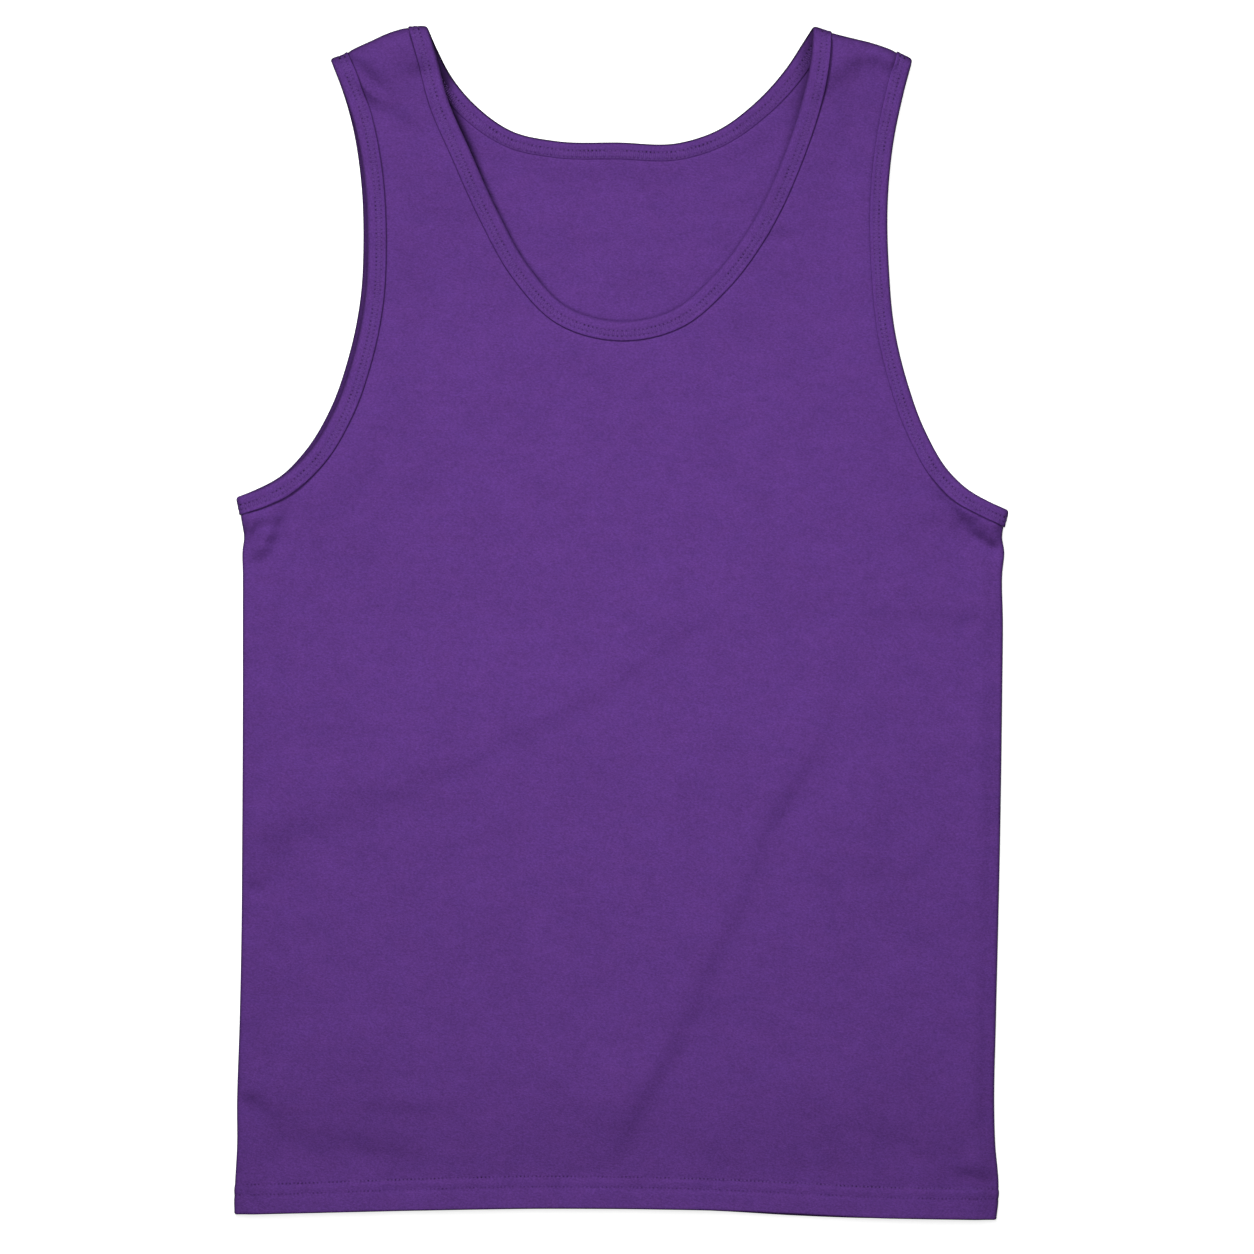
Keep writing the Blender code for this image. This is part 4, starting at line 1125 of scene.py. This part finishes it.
def hem_threads(panel):
    """Two needle rows across a hem."""
    paths = []
    left, right = (float(side_x(side, -340.0)) for side in (-1, 1))
    starts = np.arange(np.ceil((left + 3.0) / PITCH), (right - 3.0) / PITCH - 1) * PITCH
    x = (starts[:, None] + SPAN * PITCH).ravel()
    out = WALL / 2 - HEM_SINK[panel] + np.tile(LIE, len(starts))
    for row in HEM_NEEDLES:
        y = hem_y(panel, x) + row + row_wander(x)
        place = cloth(panel, np.column_stack([x, y]), out)
        paths.append(place.reshape(len(starts), -1, 3))
    return np.concatenate(paths)


# --- materials ---
class Nodes:
    """Short names for building a shader."""

    def __init__(self, owner, shader="Principled BSDF"):
        owner.use_nodes = True
        self.tree = owner.node_tree
        self.shader = self.tree.nodes[shader]

    def put(self, node, values):
        """Sets or links a node's inputs."""
        for name, value in values.items():
            if isinstance(value, bpy.types.NodeSocket):
                self.tree.links.new(value, node.inputs[name])
            else:
                node.inputs[name].default_value = value
        return node

    def new(self, kind, values=None, **settings):
        node = self.tree.nodes.new(kind)
        for name, value in settings.items():
            setattr(node, name, value)
        return self.put(node, values or {})

    def attribute(self, name, output="Fac"):
        return self.new("ShaderNodeAttribute", attribute_name=name).outputs[output]

    def math(self, operation, *values):
        node = self.new("ShaderNodeMath", dict(enumerate(values)), operation=operation)
        return node.outputs[0]

    def noise(self, vector, scale, detail=2.0, roughness=0.5):
        values = {"Vector": vector, "Scale": scale, "Detail": detail, "Roughness": roughness}
        return self.new("ShaderNodeTexNoise", values).outputs["Fac"]

    def wave(self, value, period):
        """0 to 1 and back over each period."""
        turn = self.math("MULTIPLY", value, 2 * np.pi / period)
        return self.math("MULTIPLY_ADD", self.math("SINE", turn), 0.5, 0.5)

    def swing(self, value, strength, middle):
        """A middle, moved by how far a value of 0 to 1 is from a half."""
        return self.math("MULTIPLY_ADD", self.math("SUBTRACT", value, 0.5), strength, middle)

    def bell(self, *offs):
        """1 where all are 0, and a bell curve down from there."""
        square = 0.0
        for off in offs:
            square = self.math("MULTIPLY_ADD", off, off, square)
        return self.math("EXPONENT", self.math("MULTIPLY", square, -1.0))

    def ramp(self, value, *ends):
        """A colour between two, each given with its place."""
        node = self.new("ShaderNodeValToRGB", {"Fac": value})
        for element, (place, colour) in zip(node.color_ramp.elements, ends):
            element.position = place
            element.color = (*colour, 1.0)
        return node.outputs["Color"]

    def bump(self, height, strength, distance):
        values = {"Height": height, "Strength": strength, "Distance": distance}
        return self.new("ShaderNodeBump", values).outputs["Normal"]


# Base colour of the cloth, in its bluer and its redder patches.
BLUER = (0.1035, 0.0385, 0.2290)
REDDER = (0.1175, 0.0393, 0.2240)
HOLE_LENGTH, HOLE_WIDTH = 0.50, 0.52
HOLE_DARK = 0.76
# painted shade line in the ditch beside a binding: its darkness and reach
SEAM_SHADE, SEAM_REACH = 0.62, 0.5  # of the line beside a binding
# the least brightness left where needle holes and the painted shade darken the cloth
DARKEST = 0.08


def knit_material(name, wale, course, across, rows, grain_size=1.0):
    """Cotton knit. across: the coordinate over the needle rows. rows: for each row
    its place on that coordinate, and how clear its holes are."""
    material = bpy.data.materials.new(name)
    n = Nodes(material)
    vector = n.attribute("weave", "Vector")
    u, v, depth = n.new("ShaderNodeSeparateXYZ", {0: vector}).outputs
    # Loops of the knit: each wale is a column of small Vs.
    lean = n.math("ABSOLUTE", n.math("SUBTRACT", n.wave(u, wale), 0.5))
    loops = n.wave(n.math("MULTIPLY_ADD", lean, 0.6 * course, v), course)
    knit = n.math("MULTIPLY", n.math("ADD", loops, n.wave(u, wale / 2.0)), 0.5)
    turned = {"Vector": vector, "Scale": (0.88, 0.97, 1.0), "Rotation": (0.0, 0.0, 0.35)}
    stretched = n.new("ShaderNodeMapping", turned).outputs[0]
    grain = n.noise(stretched, 0.85 * grain_size, 2.0, 0.7)
    blotch = n.noise(vector, 0.15)
    patch = n.noise(vector, 0.042)
    # How light: mostly grain and slow unevenness, a little of the loops.
    light = 1.0
    for part, strength in ((grain, 1.05), (blotch, 0.20), (patch, 0.20), (knit, 0.10)):
        light = n.swing(part, strength, light)
    hue = n.swing(n.noise(stretched, 0.09, 4.0, 0.7), 1.1, 0.5)
    colours = {"Factor": hue, "A": (*BLUER, 1.0), "B": (*REDDER, 1.0)}
    tone = n.new("ShaderNodeMix", colours, data_type="RGBA").outputs["Result"]
    # Needle holes, dark and drawn in, here clear and there faint.
    at = {"v": v, "depth": depth}[across]
    place = n.math("DIVIDE", n.swing(n.noise(vector, 0.35, 1.0), 0.9, u), PITCH)
    place = n.math("ABSOLUTE", n.math("SUBTRACT", n.math("FRACT", place), 0.5))
    to_hole = n.math("MULTIPLY", n.math("SUBTRACT", 0.5, place), PITCH / HOLE_LENGTH)
    holes = 0.0
    for row, clearness in rows:
        off = n.math("DIVIDE", n.math("SUBTRACT", at, row), HOLE_WIDTH)
        holes = n.math("MULTIPLY_ADD", n.bell(off, to_hole), clearness, holes)
    clear = n.math("MULTIPLY_ADD", n.noise(vector, 0.13, 3.0, 0.75), 4.2, -1.45)
    clear = n.math("MINIMUM", n.math("MAXIMUM", clear, 0.12), 1.15)
    holes = n.math("MULTIPLY", holes, clear)
    dark = n.math("SUBTRACT", 1.0, n.math("MULTIPLY", holes, HOLE_DARK))
    # Painted shade along folded edges, and in the ditch beside a binding.
    dark = n.math("SUBTRACT", dark, n.attribute("rim"))
    if across == "depth":
        line = n.bell(n.math("DIVIDE", n.attribute("seam"), SEAM_REACH))
        dark = n.math("SUBTRACT", dark, n.math("MULTIPLY", line, SEAM_SHADE))
    light = n.math("MULTIPLY", light, n.math("MAXIMUM", dark, DARKEST))
    light = n.math("MULTIPLY", light, n.math("SUBTRACT", 1.0, n.attribute("shade")))
    colour = n.new("ShaderNodeVectorMath", {0: tone, "Scale": light}, operation="SCALE")
    height = n.math("MULTIPLY_ADD", knit, 0.5, n.math("MULTIPLY", grain, 1.6))
    height = n.math("SUBTRACT", height, n.math("MULTIPLY", holes, 1.2))
    n.put(n.shader, {
        "Base Color": colour.outputs[0],
        "Normal": n.bump(height, 0.6, 0.20 * MM),
        "Roughness": 0.92,
        "Specular IOR Level": 0.06,
        "Sheen Weight": 0.02,
        "Sheen Roughness": 0.45,
        "Sheen Tint": (0.70, 0.50, 0.90, 1.0),
    })
    return material


def thread_material():
    material = bpy.data.materials.new("sewing_thread")
    n = Nodes(material)
    twist = n.noise(n.new("ShaderNodeTexCoord").outputs["Object"], 2600.0, 1.0)
    n.put(n.shader, {
        "Base Color": n.ramp(twist, (0.3, (0.098, 0.036, 0.200)), (0.7, (0.135, 0.050, 0.265))),
        "Normal": n.bump(twist, 0.3, 0.1 * MM),
        "Roughness": 0.6,
        "Specular IOR Level": 0.35,
        "Sheen Weight": 0.05,
    })
    return material


# --- making the pieces ---
def volume(vertices, faces):
    """Above 0 if the faces look outwards."""
    a, *others = (vertices[faces[:, i]] for i in range(faces.shape[1]))
    return sum((np.cross(a, b) * c).sum() for b, c in zip(others, others[1:]))


def make_piece(name, vertices, groups, material, marks=None):
    """A mesh object from arrays of vertices, of faces, and of marks on the vertices."""
    if volume(vertices, groups[0]) < 0:
        groups = [group[:, ::-1] for group in groups]
    mesh = bpy.data.meshes.new(name)
    every = [face for group in groups for face in group.tolist()]
    mesh.from_pydata(((vertices - ORIGIN) * MM).tolist(), [], every)
    mesh.shade_smooth()
    for mark, values in (marks or {}).items():
        kind, field = ("FLOAT_VECTOR", "vector") if values.ndim == 2 else ("FLOAT", "value")
        layer = mesh.attributes.new(mark, kind, "POINT")
        layer.data.foreach_set(field, values.astype(np.float32).ravel())
    mesh.materials.append(material)
    mesh.update()
    piece = bpy.data.objects.new(name, mesh)
    bpy.context.scene.collection.objects.link(piece)
    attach(piece, "root")
    return piece


JERSEY = knit_material("jersey", 0.92, 0.74, "depth", list(zip(HEM_NEEDLES, HOLES)))
RIB = {}
for i, (edge, width) in enumerate(WIDTHS.items()):
    rows = [(share * width, clear) for share, clear in zip(NEEDLES, HOLES)]
    RIB[edge] = knit_material(f"rib_{i}", 0.80, 0.85, "v", rows, 1.1)
THREAD = thread_material()
HEM_THREAD_R, BINDING_THREAD_R = 0.13, 0.11

made = {}
for panel in PANELS:
    vertices, faces, marks, area = panel_mesh(panel)
    piece = make_piece(f"{panel}_cloth", vertices, [faces], JERSEY, marks)
    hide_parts(panel)
    threads = thread_mesh(hem_threads(panel), HEM_THREAD_R)
    sewing = make_piece(f"{panel}_hem_thread", *threads, THREAD)
    made[panel] = (piece, sewing, area)

BOUND = {"neck_binding": "neck", "armhole_binding_left": 1, "armhole_binding_right": -1}
for node, edge in BOUND.items():
    vertices, faces, marks, length = binding_mesh(edge)
    piece = make_piece(f"{node}_cloth", vertices, [faces], RIB[edge], marks)
    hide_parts(node)
    threads = thread_mesh(binding_threads(edge), BINDING_THREAD_R)
    sewing = make_piece(f"{node}_thread", *threads, THREAD)

# The pieces and the spread-out area of each panel, looked up again.
for panel, under in (("front", "back_cloth"), ("back", "floor")):
    piece, sewing, area = made[panel]


# --- floor, light and camera ---
FLOOR_SIZE = 20.0
FLOOR_GLOW = 0.76
SKY = 0.14
# Lights: place, aim, size and power.
LIGHTS = {
    "key": ((-0.77, 2.93, 2.555), (0.0, 0.02, 0.0), 1.13, 111.5),
    "overhead": ((-0.01, 0.035, 0.63), (-0.01, 0.035, 0.0), 0.5, 2.32),
}


def floor():
    """A pale table that glows a little, and sheds no light on the cloth."""
    mesh = bpy.data.meshes.new("floor")
    ring = [(-1, -1), (1, -1), (1, 1), (-1, 1)]
    mesh.from_pydata([(x * FLOOR_SIZE, y * FLOOR_SIZE, 0) for x, y in ring], [], [(0, 1, 2, 3)])
    material = bpy.data.materials.new("pale_floor")
    n = Nodes(material)
    cloud = n.noise(n.new("ShaderNodeTexCoord").outputs["Object"], 3.0)
    n.put(n.shader, {
        "Base Color": n.ramp(cloud, (0.0, (0.88, 0.88, 0.88)), (1.0, (0.91, 0.91, 0.91))),
        "Roughness": 0.9,
        "Specular IOR Level": 0.1,
        "Emission Color": (1.0, 1.0, 1.0, 1.0),
        "Emission Strength": FLOOR_GLOW,
    })
    mesh.materials.append(material)
    plane = bpy.data.objects.new("floor", mesh)
    plane.visible_diffuse = False
    bpy.context.scene.collection.objects.link(plane)


def area_light(name, place, aim, size, power):
    data = bpy.data.lights.new(name, "AREA")
    data.shape = "SQUARE"
    data.size = size
    data.energy = power
    light = bpy.data.objects.new(name, data)
    light.location = place
    way = Vector(aim) - Vector(place)
    light.rotation_euler = way.to_track_quat("-Z", "Y").to_euler()
    bpy.context.scene.collection.objects.link(light)


def sky():
    """Even light from above the horizon, none from below."""
    world = bpy.data.worlds.new("studio")
    bpy.context.scene.world = world
    n = Nodes(world, "Background")
    place = n.new("ShaderNodeTexCoord").outputs["Generated"]
    up = n.new("ShaderNodeSeparateXYZ", {0: place}).outputs["Z"]
    span = {"Value": up, "From Min": -0.02, "From Max": 0.02, "To Max": SKY}
    above = n.new("ShaderNodeMapRange", span).outputs["Result"]
    n.put(n.shader, {"Strength": above, "Color": (1.0, 1.0, 1.0, 1.0)})


floor()
for name, settings in LIGHTS.items():
    area_light(name, *settings)
sky()

# The photo is 1254 pixels wide, and 0.602 mm a pixel makes the outlines meet. Its
# middle is 3.0 mm right of the tables' origin and 2.1 mm below it.
FRAME_WIDTH = 1254 * 0.602 * MM
CENTRE = (np.array([3.0, -2.1]) - ORIGIN[:2]) * MM
DISTANCE = 3.2  # from the camera to the cloth's middle height
CLOTH_HEIGHT = 0.005
SENSOR = 36.0
camera_data = bpy.data.cameras.new("camera")
camera_data.sensor_width = SENSOR
camera_data.lens = SENSOR * DISTANCE / FRAME_WIDTH
camera_data.clip_end = 50.0
camera = bpy.data.objects.new("camera", camera_data)
camera.location = (*CENTRE, DISTANCE + CLOTH_HEIGHT)
bpy.context.scene.collection.objects.link(camera)
bpy.context.scene.camera = camera
bpy.context.scene.view_settings.view_transform = "Standard"
